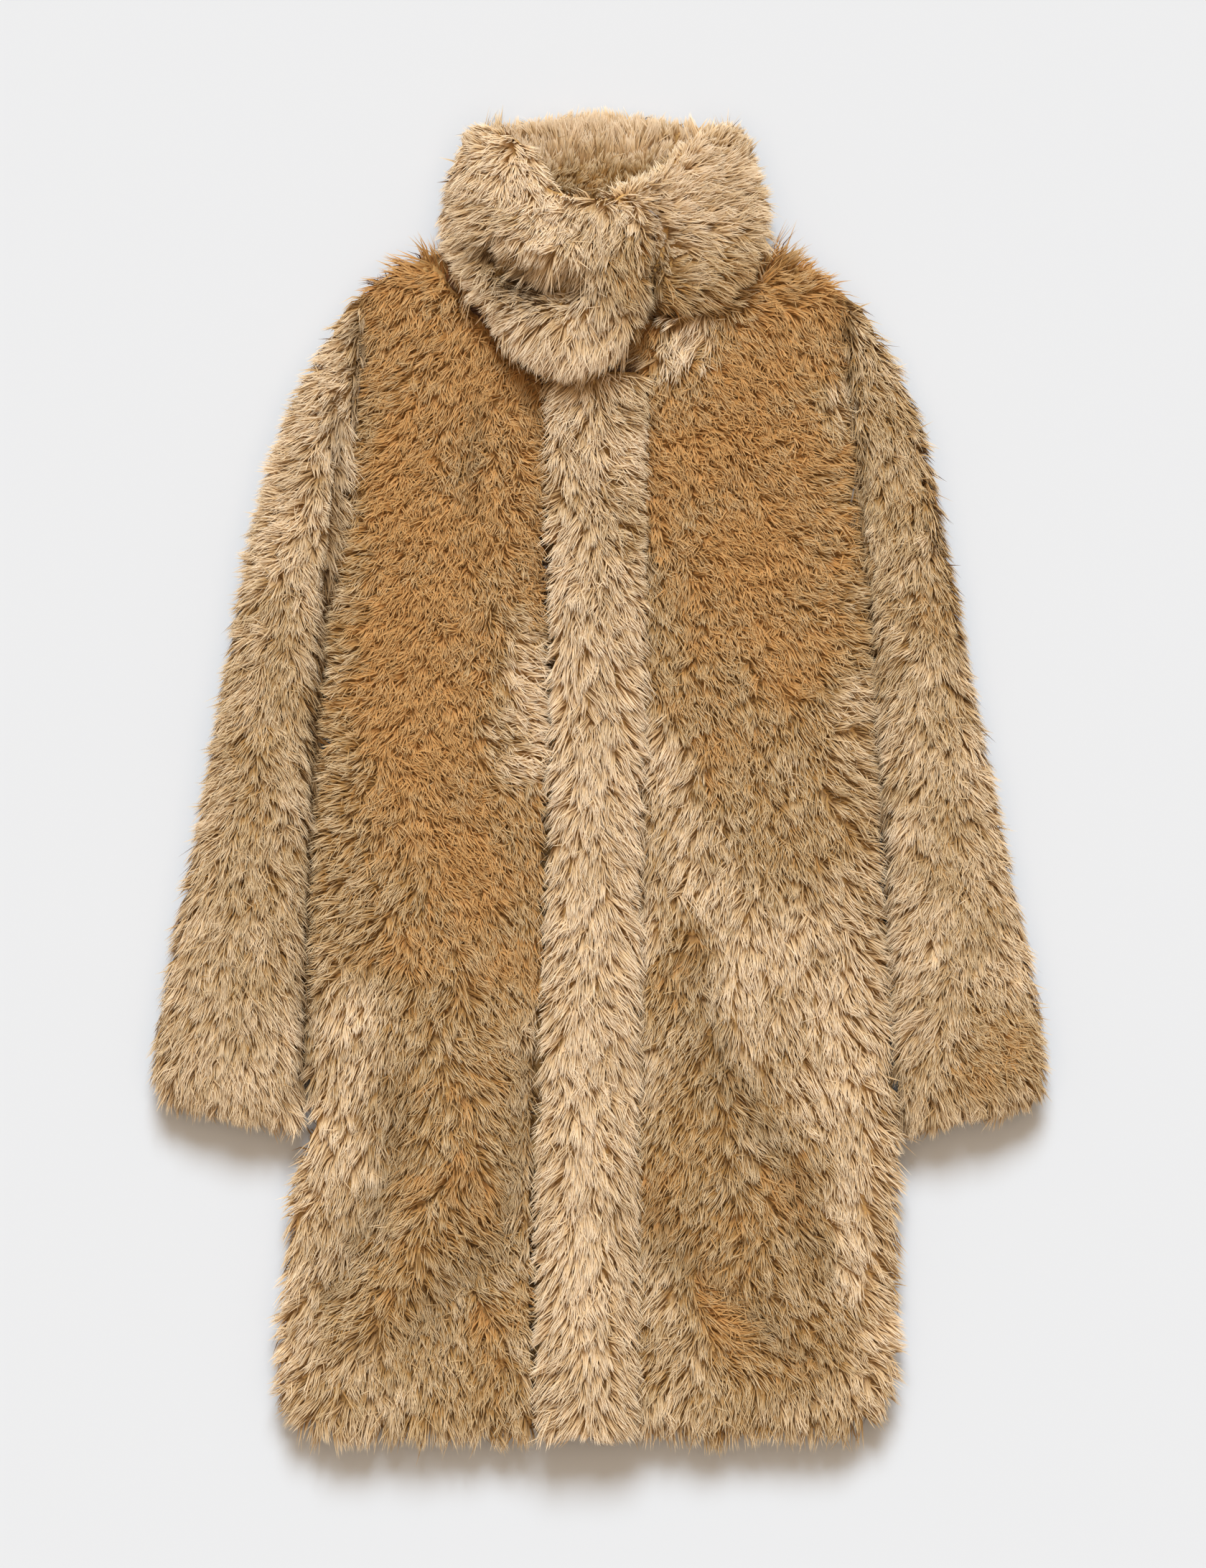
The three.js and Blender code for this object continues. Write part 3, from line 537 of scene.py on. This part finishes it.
def draw_in(mesh, pile_depth, inset, others, sizes):
    """Moves the cloth down by the depth of its pile and in from the outline, less where it touches something.
    Returns the points of its rim, the way each faces in plan, and whether another piece is sewn there."""
    points = read(mesh.vertices, "co", 3)
    normals = read(mesh.vertices, "normal", 3)
    edges = read(mesh.edges, "vertices", 2, np.int32)
    own = tree_of([mesh])
    depth = np.full(len(points), pile_depth)
    touches = np.zeros(len(points), bool)
    outward = np.abs(normals[:, 2]) < 0.6
    for i, (p, n) in enumerate(zip(points, normals)):
        touches[i] = others.ray_cast(p - n * 2 * MM, n, 8 * MM)[0] is not None
        if p[2] < 3 * MM and n[2] < -0.5:
            depth[i] = sizes.floor_depth
        elif touches[i]:
            depth[i] = sizes.contact_depth
        elif own.ray_cast(p + n * 0.2 * MM, n, 3 * MM)[0] is not None:
            depth[i] = 0
        if outward[i] and own.ray_cast(p + n * MM, n, RIM_SIGHT)[0] is not None:
            outward[i] = False
    rim = np.flatnonzero(outward)
    facing = unit(normals[rim, :2])
    nearest_rim = nearest(points[rim], points)
    away = np.linalg.norm((points - points[rim][nearest_rim])[:, :2], axis=1)
    rim_depth = np.where(touches[rim], -SEAM_PUSH, inset)[nearest_rim]
    shift = np.zeros_like(points)
    shift[:, :2] = -facing[nearest_rim] * (rim_depth * np.clip(1 - away / RIM_REACH, 0, 1))[:, None]
    shift[:, 2] = -normals[:, 2] * depth
    dip = SEAM_DIP * np.exp(-((away / SEAM_WIDTH) ** 2)) * touches[rim][nearest_rim]
    shift[:, 2] -= np.where(normals[:, 2] > 0, dip, 0)
    points = relaxed(points + relaxed(shift, edges, 5), edges, 2)
    mesh.vertices.foreach_set("co", points.ravel())
    mesh.update()
    return points[rim], facing, touches[rim]


def scatter(mesh, count, open_share, rng):
    """Random places on a mesh's faces, with the normal at each."""
    points = read(mesh.vertices, "co", 3)
    normals = read(mesh.vertices, "normal", 3)
    triangles = read(mesh.loop_triangles, "vertices", 3, np.int32)
    corners = points[triangles]
    area = np.linalg.norm(np.cross(corners[:, 1] - corners[:, 0], corners[:, 2] - corners[:, 0]), axis=1)
    weight = area * open_share
    chosen = rng.choice(len(triangles), count, p=weight / weight.sum())
    root, other = np.sqrt(rng.random(count)), rng.random(count)
    shares = np.stack([1 - root, root * (1 - other), root * other], axis=1)[:, :, None]
    place = (points[triangles[chosen]] * shares).sum(axis=1)
    return place, unit((normals[triangles[chosen]] * shares).sum(axis=1))


def open_faces(mesh, others, reach, rows):
    """How much pile each triangle shows: none where another piece or the cloth itself lies on it, and
    more where it stands, as hairs then cover less."""
    mesh.calc_loop_triangles()
    own = tree_of([mesh])
    points = read(mesh.vertices, "co", 3)
    triangles = read(mesh.loop_triangles, "vertices", 3, np.int32)
    normals = read(mesh.loop_triangles, "normal", 3)
    centres = points[triangles].mean(axis=1)
    share = np.where(normals[:, 2] < -0.6, 0.3, 1 + brushed(rows, centres[:, :2])[1])
    for i, (p, n) in enumerate(zip(centres, normals)):
        start = p + n * 0.3 * MM
        ahead = n if abs(n[2]) < 0.6 else (0, 0, math.copysign(1, n[2]))
        covered = others.ray_cast(start, ahead, reach + 3 * MM)[0] is not None
        if covered or own.ray_cast(start, ahead, 12 * MM)[0] is not None:
            share[i] = 0
    return share


PARTING = 8  # the larger, the softer the partings between two rows of FLOW, in mm
BLENDING = 12  # the larger, the softer the pile's tone and stand change from row to row, in mm


def brushed(rows, places):
    """The way the pile lies at places in plan, blended from the rows: heading, stand, tone and length."""
    plan = np.zeros((len(places), 2))
    rest = np.zeros((len(places), 3))
    weights = np.zeros((len(places), 1))
    for _, start, end, heading, *values in rows:
        distance = segment_distance(places / MM, start, end)[:, None]
        turn = math.radians(heading)
        plan += np.array([math.sin(turn), -math.cos(turn)]) / (distance + PARTING) ** 3.3
        weight = 1 / (distance + BLENDING) ** 3.3
        rest += weight * np.array(values)
        weights += weight
    stand, tone, length = (rest / weights).T
    return unit(plan), stand, tone, length


DRIFT_SPANS = (35 * MM, 95 * MM)  # from crest to crest of the slow changes of the pile
DRIFT_SHIFT = 6 * MM  # how far they move the borders between two rows of FLOW
DRIFT_TONE = 0.07  # how much they change the tone


def drifting(places, rng):
    """A value that changes slowly and unevenly from place to place in plan, mostly between -1.5 and 1.5."""
    total = np.zeros(len(places))
    for _ in range(7):
        way = rng.uniform(0, 2 * math.pi)
        along = places[:, 0] * math.cos(way) + places[:, 1] * math.sin(way)
        total += np.sin(along * 2 * math.pi / rng.uniform(*DRIFT_SPANS) + rng.uniform(0, 2 * math.pi))
    return total / math.sqrt(3.5)


def lock_guides(places, normals, rows, inner_rows, sizes, rng):
    """For each lock: its heading on the cloth, its sideways direction, lifts, length, bend and tone."""
    count = len(places)
    drift = np.column_stack([drifting(places, rng), drifting(places, rng)])
    strayed = places[:, :2] + rng.normal(0, 4 * MM, (count, 2)) + DRIFT_SHIFT * drift
    plan, stand, tone, share = brushed(rows, strayed)
    length = share * np.interp(stand, [0, 1], [sizes.combed_length, sizes.standing_length])
    if inner_rows:
        inner = (places[:, 2] < 26 * MM) & (normals[:, 2] > 0.3)
        inner_plan, inner_stand, inner_tone, inner_share = brushed(inner_rows, places[:, :2])
        plan = np.where(inner[:, None], inner_plan, plan)
        stand = np.where(inner, inner_stand, stand)
        tone = np.where(inner, inner_tone, tone)
        length = np.where(inner, inner_share * sizes.inner_length, length)
    below = normals[:, 2] < -0.5
    stand = np.where(below, 0, stand)
    length = np.where(below, 0.6 * sizes.combed_length, length)
    droop = 0.35 * (1 - np.abs(normals[:, 2]))
    heading = np.column_stack([plan, -droop])
    heading = unit(heading - dot(heading, normals) * normals)
    turn = rng.normal(0, 1, count) * np.radians(np.interp(stand, [0, 1], [6, 24]))
    side = np.cross(normals, heading)
    heading, side = turned(heading, side, turn)
    return {
        "heading": heading,
        "side": side,
        "stand": stand,
        "tone": tone + rng.normal(0, 0.08, count) + DRIFT_TONE * drifting(places, rng),
        "root_lift": np.radians(np.interp(stand, [0, 1], [47, 66]) + rng.normal(0, 4, count)),
        "tip_lift": np.radians(np.interp(stand, [0, 1], [5, 20]) + rng.normal(0, 4, count)),
        "length": length * rng.uniform(0.9, 1.1, count),
        "bend": np.radians(rng.normal(0, 1, count) * np.interp(stand, [0, 1], [9, 24])),
        "wave": rng.uniform(0, 2 * math.pi, count),
        "ragged": share * rng.uniform(0.75, 1.3, count),
        "shade": rng.uniform(0.74, 0.9, count),
    }


TUFT_TURN = math.radians(6)  # how differently the tufts lie
TUFT_PULL = 0.2  # how far the tips of a tuft's locks gather


def gather_tufts(guides, locks, lock_normals, centres, centre_normals, rng):
    """Turns, lengthens and lifts the locks of each tuft alike, and returns how far each lock's tips move
    towards the middle of its tuft."""
    tuft = nearest(centres + centre_normals * FACE_APART, locks + lock_normals * FACE_APART)
    count = len(centres)
    turn = rng.normal(0, TUFT_TURN, count)[tuft]
    guides["heading"], guides["side"] = turned(guides["heading"], guides["side"], turn)
    guides["length"] = guides["length"] * rng.uniform(0.93, 1.09, count)[tuft]
    guides["tip_lift"] = guides["tip_lift"] + rng.normal(0, math.radians(4), count)[tuft]
    pull = centres[tuft] - locks
    pull -= dot(pull, lock_normals) * lock_normals
    return pull * TUFT_PULL * np.interp(guides["stand"], [0, 0.5, 1], [1, 0.8, 0.3])[:, None]


def turned(heading, side, angle):
    """Two directions at right angles, turned together by an angle."""
    cos, sin = np.cos(angle)[:, None], np.sin(angle)[:, None]
    return heading * cos + side * sin, side * cos - heading * sin


def nearest(centres, places):
    tree = kdtree.KDTree(len(centres))
    for i, centre in enumerate(centres):
        tree.insert(centre, i)
    tree.balance()
    return np.array([tree.find(place)[1] for place in places])


FACE_APART = 14 * MM  # keeps the hairs of one face of the cloth out of the locks of the other
SHORTEST = 0.42  # the least of its length that a hair keeps at a rim
SHORTEST_AT_SEAM = 0.25
LEVELS = np.array([0, 0.42, 1.0])  # where along a hair its points are
WIDTHS = np.array([1.6, 1.15, 0.0])
GATHER = np.array([0, 0.55, 1.0])
SEAM_SHADE = 8 * MM  # how far from a seam the pile is darkened with painted shade
UNDER_SHARE = (0.2, 0.38)  # share of hairs that stay short and fill the gaps, in combed and in standing pile
UNDER_LENGTH = 0.55
CEILING = 87 * MM  # no tip stands higher above the floor than this
PARTED = 0.46  # a hollow darker than this parts the pile


def held_at_rim(places, normals, heading, length, rim, allowance, crossing):
    """Lengths cut back where a hair would hang over the rim that it heads for by more than the allowance,
    or cross a seam, and how near each hair is to a seam. Hairs low on the side reach less far, and those on the underside end at the rim."""
    rim_points, facing, sewn = rim
    index = nearest(rim_points * [1, 1, 0], places * [1, 1, 0])
    gap = rim_points[index, :2] - places[:, :2]
    ahead = np.sum(gap * facing[index], axis=1)
    towards = np.sum(heading[:, :2] * facing[index], axis=1)
    below = normals[:, 2] < -0.3
    over = np.interp(normals[:, 2], [-0.3, 0.4], [0, 1]) * np.where(sewn[index], crossing, allowance)
    room = np.maximum(ahead, 0) + over
    limit = room / np.maximum(0.85 * towards, 0.05)
    least = np.where(below, 0.1, np.where(sewn[index], SHORTEST_AT_SEAM, SHORTEST))
    seam = np.exp(-((ahead / SEAM_SHADE) ** 2)) * sewn[index]
    return np.minimum(length, np.maximum(limit, least * length)), seam


def stopped(places, heading, length, hollows):
    """Lengths cut back so that no hair crosses the middle of a dark hollow, and how deep in one each
    hair is, which sets how much painted shade it gets.
    """
    depth = np.zeros(len(places))
    for _, start, end, width, darkness in hollows:
        away = segment_distance(places[:, :2] / MM, start, end)
        depth = np.maximum(depth, darkness * np.exp(-((away / width) ** 2)))
        line = (np.array(end) - np.array(start)) * MM
        apart = np.array(start) * MM - places[:, :2]
        cross = heading[:, 0] * line[1] - heading[:, 1] * line[0]
        cross = np.where(np.abs(cross) < 1e-9, 1e-9, cross)
        reach = (apart[:, 0] * line[1] - apart[:, 1] * line[0]) / cross
        share = (apart[:, 0] * heading[:, 1] - apart[:, 1] * heading[:, 0]) / cross
        crosses = (reach > 0) & (share > -0.05) & (share < 1.05) & (darkness > PARTED)
        held = np.minimum(length, np.maximum(reach + MM, SHORTEST_AT_SEAM * length))
        length = np.where(crosses, held, length)
    return length, depth


def grow(cloth, facts, open_share, rim, rows, inner_rows, hollows, sizes, rng):
    """Hairs as tapering ribbons: points and normals of each, five a hair, its tone and its own lightness,
    darkened with painted shade in hollows and at seams.
    """
    count = facts["hairs"]
    places, normals = scatter(cloth, count, open_share, rng)
    locks, lock_normals = scatter(cloth, count // sizes.hairs_per_lock, open_share, rng)
    guides = lock_guides(locks, lock_normals, rows, inner_rows, sizes, rng)
    tufts, tuft_normals = scatter(cloth, len(locks) // facts["tuft"], open_share, rng)
    pull = gather_tufts(guides, locks, lock_normals, tufts, tuft_normals, rng)
    lock = nearest(locks + lock_normals * FACE_APART, places + normals * FACE_APART)
    normal = unit(normals + lock_normals[lock])
    stand = guides["stand"][lock]
    stray = (rng.random(count) < 0.05) & (normal[:, 2] > 0)
    under = ~stray & (rng.random(count) < np.interp(stand, [0, 1], UNDER_SHARE))
    length = facts["longer"] * guides["length"][lock] * rng.uniform(0.76, 1.1, count) * np.where(stray, 1.1, 1)
    length = np.where(under, UNDER_LENGTH, 1) * length
    jitter = rng.normal(0, 1, count) * np.radians(np.interp(stand, [0, 1], [4.5, 17])) * np.where(stray, 4, 1)
    lift_jitter = rng.normal(0, np.radians(5), count) * np.where(stray, 3, 1)
    heading, side = turned(guides["heading"][lock], guides["side"][lock], jitter)
    offset = places - locks[lock]
    offset -= dot(offset, normal) * normal
    allowance = facts["overhang"] * MM * guides["ragged"][lock]
    length, seam = held_at_rim(places, normal, heading, length, rim, allowance, facts["crossing"] * MM)
    length, hollow = stopped(places, heading, length, hollows)
    tone = np.clip(guides["tone"][lock] + rng.normal(0, 0.05, count), 0, 1)
    shade = guides["shade"][lock] + rng.uniform(-0.07, 0.07, count)
    # painted shade: a hair in a hollow or near a seam is darkened, for the shade that falls there
    shade *= 1 - np.maximum(hollow, facts["seam"] * seam)
    lit = unit(normal + np.where(normal[:, 2:] > -0.5, [0, 0, 0.8], 0))
    hold = np.interp(stand, [0, 0.5, 1], [0.6, 0.4, 0.1]) * np.where(stray | under, 0.2, 1)

    points = np.empty((count, 3, 3))
    points[:, 0] = places - normal * 0.5 * MM
    path = np.zeros((count, 3))
    for j in (1, 2):
        middle = (LEVELS[j] + LEVELS[j - 1]) / 2
        lift = guides["root_lift"][lock] * (1 - middle) + guides["tip_lift"][lock] * middle + lift_jitter
        forward, _ = turned(heading, side, guides["bend"][lock] * middle)
        step = normal * np.sin(lift)[:, None] + forward * np.cos(lift)[:, None]
        path = path + step * (length * (LEVELS[j] - LEVELS[j - 1]))[:, None]
        sway = 0.9 * MM * LEVELS[j] * np.sin(guides["wave"][lock] + 4 * LEVELS[j])
        gathered = (pull[lock] - offset * hold[:, None]) * GATHER[j]
        points[:, j] = places + path + gathered + side * sway[:, None]
    points[:, :, 2] = np.maximum(points[:, :, 2], 0.4 * MM)

    tangent = unit(np.gradient(points, axis=1))
    facing = normal[:, None] + rng.normal(0, 0.12, (count, 1, 3))
    across = unit(np.cross(tangent, facing))
    roll = rng.normal(0, np.radians(24), count)[:, None, None]
    across = across * np.cos(roll) + np.cross(tangent, across) * np.sin(roll)
    ribbon_normal = np.cross(across, tangent)
    guide_line = points - offset[:, None] * (1 - hold[:, None, None] * GATHER[None, :, None])
    radial = points - guide_line
    shown_normal = unit(0.4 * ribbon_normal + 0.6 * lit[:, None] + 0.15 * unit(radial))
    width = sizes.hair_width * rng.uniform(0.8, 1.25, count) * np.interp(stand, [0, 1], [1, 1.35])
    half = width[:, None, None] / 2 * WIDTHS[None, :, None]
    left = points - across * half
    right = points + across * half
    vertices = np.empty((count, 5, 3))
    vertices[:, 0:4:2] = left[:, :2]
    vertices[:, 1:4:2] = right[:, :2]
    vertices[:, 4] = points[:, 2]
    vertices[:, :, 2] = np.clip(vertices[:, :, 2], 0.3 * MM, CEILING)
    vertex_normals = np.empty((count, 5, 3))
    vertex_normals[:, 0:4:2] = shown_normal[:, :2]
    vertex_normals[:, 1:4:2] = shown_normal[:, :2]
    vertex_normals[:, 4] = shown_normal[:, 2]
    return vertices, vertex_normals, tone, shade


HAIR_LOOPS = np.array([0, 1, 3, 2, 2, 3, 4])  # a quad from the root and a triangle to the tip
HAIR_FACE_STARTS = np.array([0, 4])


def hair_mesh(name, vertices, vertex_normals, tone, shade):
    """One mesh of all hairs. Its map holds across the tone and a hair's own lightness with its painted
    shade, and root to tip up.
    """
    count = len(vertices)
    mesh = bpy.data.meshes.new(name)
    mesh.vertices.add(count * 5)
    mesh.vertices.foreach_set("co", vertices.ravel())
    loops = (HAIR_LOOPS[None] + 5 * np.arange(count)[:, None]).ravel()
    mesh.loops.add(len(loops))
    mesh.loops.foreach_set("vertex_index", loops.astype(np.int32))
    mesh.polygons.add(count * 2)
    starts = (HAIR_FACE_STARTS[None] + 7 * np.arange(count)[:, None]).ravel()
    mesh.polygons.foreach_set("loop_start", starts.astype(np.int32))
    mesh.update(calc_edges=True)
    level = LEVELS[[0, 0, 1, 1, 2]]
    uv = np.empty((count, 7, 2))
    uv[:, :, 0] = ((np.round(tone * (TONES - 1)) + shade) / TONES)[:, None]
    uv[:, :, 1] = level[HAIR_LOOPS][None]
    mesh.uv_layers.new(name=BAKE_MAP).data.foreach_set("uv", uv.ravel())
    mesh.normals_split_custom_set_from_vertices(vertex_normals.reshape(-1, 3).tolist())
    return mesh


def node(tree, kind, inputs=(), **settings):
    """Adds a shader node, sets its settings, and sets or links its inputs."""
    made = tree.nodes.new(kind)
    for key, value in settings.items():
        setattr(made, key, value)
    for key, value in dict(inputs).items():
        if isinstance(value, bpy.types.NodeSocket):
            tree.links.new(value, made.inputs[key])
        else:
            made.inputs[key].default_value = value
    return made


def ramp(tree, factor, stops):
    made = node(tree, "ShaderNodeValToRGB", {"Fac": factor})
    made.color_ramp.elements[0].position = stops[0][0]
    made.color_ramp.elements[-1].position = stops[-1][0]
    for place, _ in stops[1:-1]:
        made.color_ramp.elements.new(place)
    for element, (_, colour) in zip(made.color_ramp.elements, stops):
        element.color = (*colour, 1)
    return made.outputs["Color"]


def blend(tree, factor, a, b):
    made = node(tree, "ShaderNodeMix", {"Factor": factor}, data_type="RGBA")
    tree.links.new(a, made.inputs["A"])
    tree.links.new(b, made.inputs["B"])
    return made.outputs["Result"]


def math_node(tree, operation, a, b=0.0):
    return node(tree, "ShaderNodeMath", {0: a, 1: b}, operation=operation).outputs[0]


def pile_material(colours, slot):
    """Modacrylic and polyester pile: dark roots and light tips, so that the locks read apart, and a
    soft sheen. The tone runs from pale over brown, where dark roots show, to golden that keeps its
    colour to the tip; each hair is a little lighter or darker, and painted shade darkens it in a hollow
    or at a seam."""
    name = f"Modacrylic polyester {slot.replace('_', ' ')}"
    if name in bpy.data.materials:
        return bpy.data.materials[name]
    material = bpy.data.materials.new(name)
    material.use_nodes = True
    tree = material.node_tree
    shader = tree.nodes["Principled BSDF"]
    uv = node(tree, "ShaderNodeUVMap", uv_map=BAKE_MAP).outputs["UV"]
    place = node(tree, "ShaderNodeSeparateXYZ", {"Vector": uv})
    steps = math_node(tree, "MULTIPLY", place.outputs["X"], TONES)
    tone = math_node(tree, "DIVIDE", math_node(tree, "FLOOR", steps), TONES - 1)
    own = math_node(tree, "FRACT", steps)
    pale = [(0.0, colours.pale_root), (0.5, colours.pale_middle), (0.95, colours.pale_tip)]
    golden = [(0.0, colours.golden_root), (0.5, colours.golden_middle), (0.95, colours.golden_tip)]
    brown = [(0.0, colours.brown_root), (0.5, colours.brown_middle), (0.95, colours.brown_tip)]
    low = node(tree, "ShaderNodeMapRange", {"Value": tone, "From Max": 0.5}).outputs["Result"]
    high = node(tree, "ShaderNodeMapRange", {"Value": tone, "From Min": 0.5}).outputs["Result"]
    paler = blend(tree, low, ramp(tree, place.outputs["Y"], pale), ramp(tree, place.outputs["Y"], brown))
    mixed = blend(tree, high, paler, ramp(tree, place.outputs["Y"], golden))
    value = node(tree, "ShaderNodeMapRange", {"Value": own, "From Min": 0.6, "To Min": 0.86, "To Max": 1.13})
    varied = node(tree, "ShaderNodeHueSaturation", {"Value": value.outputs["Result"], "Color": mixed})
    lit = node(tree, "ShaderNodeMapRange", {"Value": own, "From Max": 0.6}).outputs["Result"]
    # painted shade: dark colours a hair blends into when its own value falls below 0.6, in a hollow or at a seam
    hollow = ramp(tree, place.outputs["Y"], [(0.0, colours.painted_shade_root), (1.0, colours.painted_shade_tip)])
    tree.links.new(blend(tree, lit, hollow, varied.outputs["Color"]), shader.inputs["Base Color"])
    shader.inputs["Roughness"].default_value = 0.7
    shader.inputs["Specular IOR Level"].default_value = 0.25
    shader.inputs["Sheen Weight"].default_value = 0.15
    shader.inputs["Sheen Roughness"].default_value = 0.4
    return material


def backing_material(colours, slot):
    """Warp-knitted polyester backing: matt, in its pile's colour, mottled by the roots."""
    name = f"Knitted polyester backing, {slot.split('_')[0]}"
    if name in bpy.data.materials:
        return bpy.data.materials[name]
    material = bpy.data.materials.new(name)
    material.use_nodes = True
    tree = material.node_tree
    shader = tree.nodes["Principled BSDF"]
    place = node(tree, "ShaderNodeTexCoord").outputs["Object"]
    mottle = node(tree, "ShaderNodeTexNoise", {"Vector": place, "Scale": 220.0, "Detail": 3.0}).outputs["Fac"]
    plain = colours.pale_backing if slot == "pale_pile" else colours.golden_backing
    light = [min(c * 1.25, 1) for c in plain]
    dark = [c * 0.6 for c in plain]
    tree.links.new(ramp(tree, mottle, [(0.3, dark), (0.7, light)]), shader.inputs["Base Color"])
    shader.inputs["Roughness"].default_value = 0.95
    shader.inputs["Specular IOR Level"].default_value = 0.1
    bump = node(tree, "ShaderNodeBump", {"Height": mottle, "Distance": 0.4 * MM, "Strength": 0.6})
    tree.links.new(bump.outputs["Normal"], shader.inputs["Normal"])
    return material


def build_piece(scene, name):
    """The cloth and the pile of one piece, both over its node of the frame."""
    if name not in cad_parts:
        raise RuntimeError(f"the frame has no node named {name}")
    facts = PIECES[name]
    sizes = scene.coat_sizes
    rng = np.random.default_rng(sorted(PIECES).index(name) + 11)
    others = tree_of([other.data for key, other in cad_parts.items() if key != name])
    mesh = fine_copy(name, facts["cell"])
    rim = draw_in(mesh, facts["pile"] * MM, facts["inset"] * MM, others, sizes)
    crease(mesh, CREASES[name])
    mesh.shade_smooth()
    mesh.materials.clear()
    mesh.materials.append(backing_material(scene.coat_colours, facts["slot"]))
    cloth = link(bpy.data.objects.new(f"{name}_cloth", mesh))
    rows = FLOW[name]
    share = open_faces(mesh, others, facts["pile"] * MM, rows)
    inner_rows = FLOW["collar_inner"] if name == "collar" else None
    hollows = HOLLOWS.get(name, [])
    fur_mesh = hair_mesh(f"{name}_fur", *grow(mesh, facts, share, rim, rows, inner_rows, hollows, sizes, rng))
    fur_mesh.materials.append(pile_material(scene.coat_colours, facts["slot"]))
    fur = link(bpy.data.objects.new(f"{name}_fur", fur_mesh))
    for piece in (cloth, fur):
        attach(piece, "root")
        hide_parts(name)


class COAT_OT_back(bpy.types.Operator):
    """Builds the coat's back, which lies on the floor"""

    bl_idname = "coat.back"
    bl_label = "Back"

    def execute(self, context):
        build_piece(context.scene, "back")
        return {"FINISHED"}


class COAT_OT_fronts(bpy.types.Operator):
    """Builds the two fronts"""

    bl_idname = "coat.fronts"
    bl_label = "Fronts"

    def execute(self, context):
        build_piece(context.scene, "front_right")
        build_piece(context.scene, "front_left")
        return {"FINISHED"}


class COAT_OT_placket(bpy.types.Operator):
    """Builds the placket that covers the opening"""

    bl_idname = "coat.placket"
    bl_label = "Placket"

    def execute(self, context):
        build_piece(context.scene, "placket")
        return {"FINISHED"}


class COAT_OT_sleeves(bpy.types.Operator):
    """Builds the two sleeves"""

    bl_idname = "coat.sleeves"
    bl_label = "Sleeves"

    def execute(self, context):
        build_piece(context.scene, "sleeve_right")
        build_piece(context.scene, "sleeve_left")
        return {"FINISHED"}


class COAT_OT_collar(bpy.types.Operator):
    """Builds the funnel collar"""

    bl_idname = "coat.collar"
    bl_label = "Collar"

    def execute(self, context):
        build_piece(context.scene, "collar")
        return {"FINISHED"}


def floor_material(colour):
    """Matt painted board: plain and pale, so that only the coat's shadow shows on it."""
    material = bpy.data.materials.new("Matt painted board")
    material.use_nodes = True
    shader = material.node_tree.nodes["Principled BSDF"]
    shader.inputs["Base Color"].default_value = (*colour, 1)
    shader.inputs["Roughness"].default_value = 0.9
    shader.inputs["Specular IOR Level"].default_value = 0.0
    return material


def add_sun(name, colour, strength, spread, tilt):
    """A soft light from above, tilted towards the collar's end."""
    sun = bpy.data.lights.new(name, "SUN")
    sun.color = colour
    sun.energy = strength
    sun.angle = spread
    link(bpy.data.objects.new(name, sun)).rotation_euler = (tilt, 0, 0)


class COAT_OT_stage(bpy.types.Operator):
    """Lays the floor, sets the light and aims the camera"""

    bl_idname = "coat.stage"
    bl_label = "Stage"

    def execute(self, context):
        scene = context.scene
        settings = scene.coat_stage
        half = 20.0
        corners = [(-half, -half, 0), (half, -half, 0), (half, half, 0), (-half, half, 0)]
        mesh = bpy.data.meshes.new("floor")
        mesh.from_pydata(corners, [], [(0, 1, 2, 3)])
        mesh.materials.append(floor_material(settings.floor))
        link(bpy.data.objects.new("floor", mesh))

        world = bpy.data.worlds.new("Even light")
        world.use_nodes = True
        world.node_tree.nodes["Background"].inputs["Strength"].default_value = settings.fill_strength
        world.node_tree.nodes["Background"].inputs["Color"].default_value = (*settings.fill_colour, 1)
        scene.world = world

        tilt = settings.sun_elevation - math.pi / 2
        add_sun("Main light", settings.sun_colour, settings.sun_strength, settings.sun_spread, tilt)
        add_sun("Overhead light", settings.fill_colour, settings.overhead_strength, settings.overhead_spread, 0)

        camera = link(bpy.data.objects.new("Camera", bpy.data.cameras.new("Camera")))
        camera.data.sensor_width = 36
        camera.data.sensor_height = 36
        camera.data.lens = 36 * settings.camera_height / settings.frame_height
        camera.location = (3.8 * MM, -7.3 * MM, settings.camera_height + 25 * MM)
        camera.data.clip_end = 50
        scene.camera = camera
        scene.view_settings.view_transform = "Standard"
        return {"FINISHED"}


class COAT_PT_panel(bpy.types.Panel):
    """The coat's sizes and colours, and a button for each step"""

    bl_label = "Faux Fur Coat"
    bl_idname = "COAT_PT_panel"
    bl_space_type = "VIEW_3D"
    bl_region_type = "UI"
    bl_category = "Coat"

    def draw(self, context):
        for group in (context.scene.coat_sizes, context.scene.coat_colours, context.scene.coat_stage):
            box = self.layout.box()
            for key in group.__annotations__:
                box.prop(group, key)
        for step in STEPS:
            self.layout.operator(step.bl_idname)


STEPS = [COAT_OT_back, COAT_OT_fronts, COAT_OT_placket, COAT_OT_sleeves, COAT_OT_collar, COAT_OT_stage]
CLASSES = [PileSizes, PileColours, StageSettings, *STEPS, COAT_PT_panel]


def register():
    for cls in CLASSES:
        bpy.utils.register_class(cls)
    bpy.types.Scene.coat_sizes = PointerProperty(type=PileSizes)
    bpy.types.Scene.coat_colours = PointerProperty(type=PileColours)
    bpy.types.Scene.coat_stage = PointerProperty(type=StageSettings)


def unregister():
    del bpy.types.Scene.coat_stage
    del bpy.types.Scene.coat_colours
    del bpy.types.Scene.coat_sizes
    for cls in reversed(CLASSES):
        bpy.utils.unregister_class(cls)


def main():
    register()
    bpy.ops.coat.back()
    bpy.ops.coat.fronts()
    bpy.ops.coat.placket()
    bpy.ops.coat.sleeves()
    bpy.ops.coat.collar()
    bpy.ops.coat.stage()


if __name__ == "__main__":
    main()
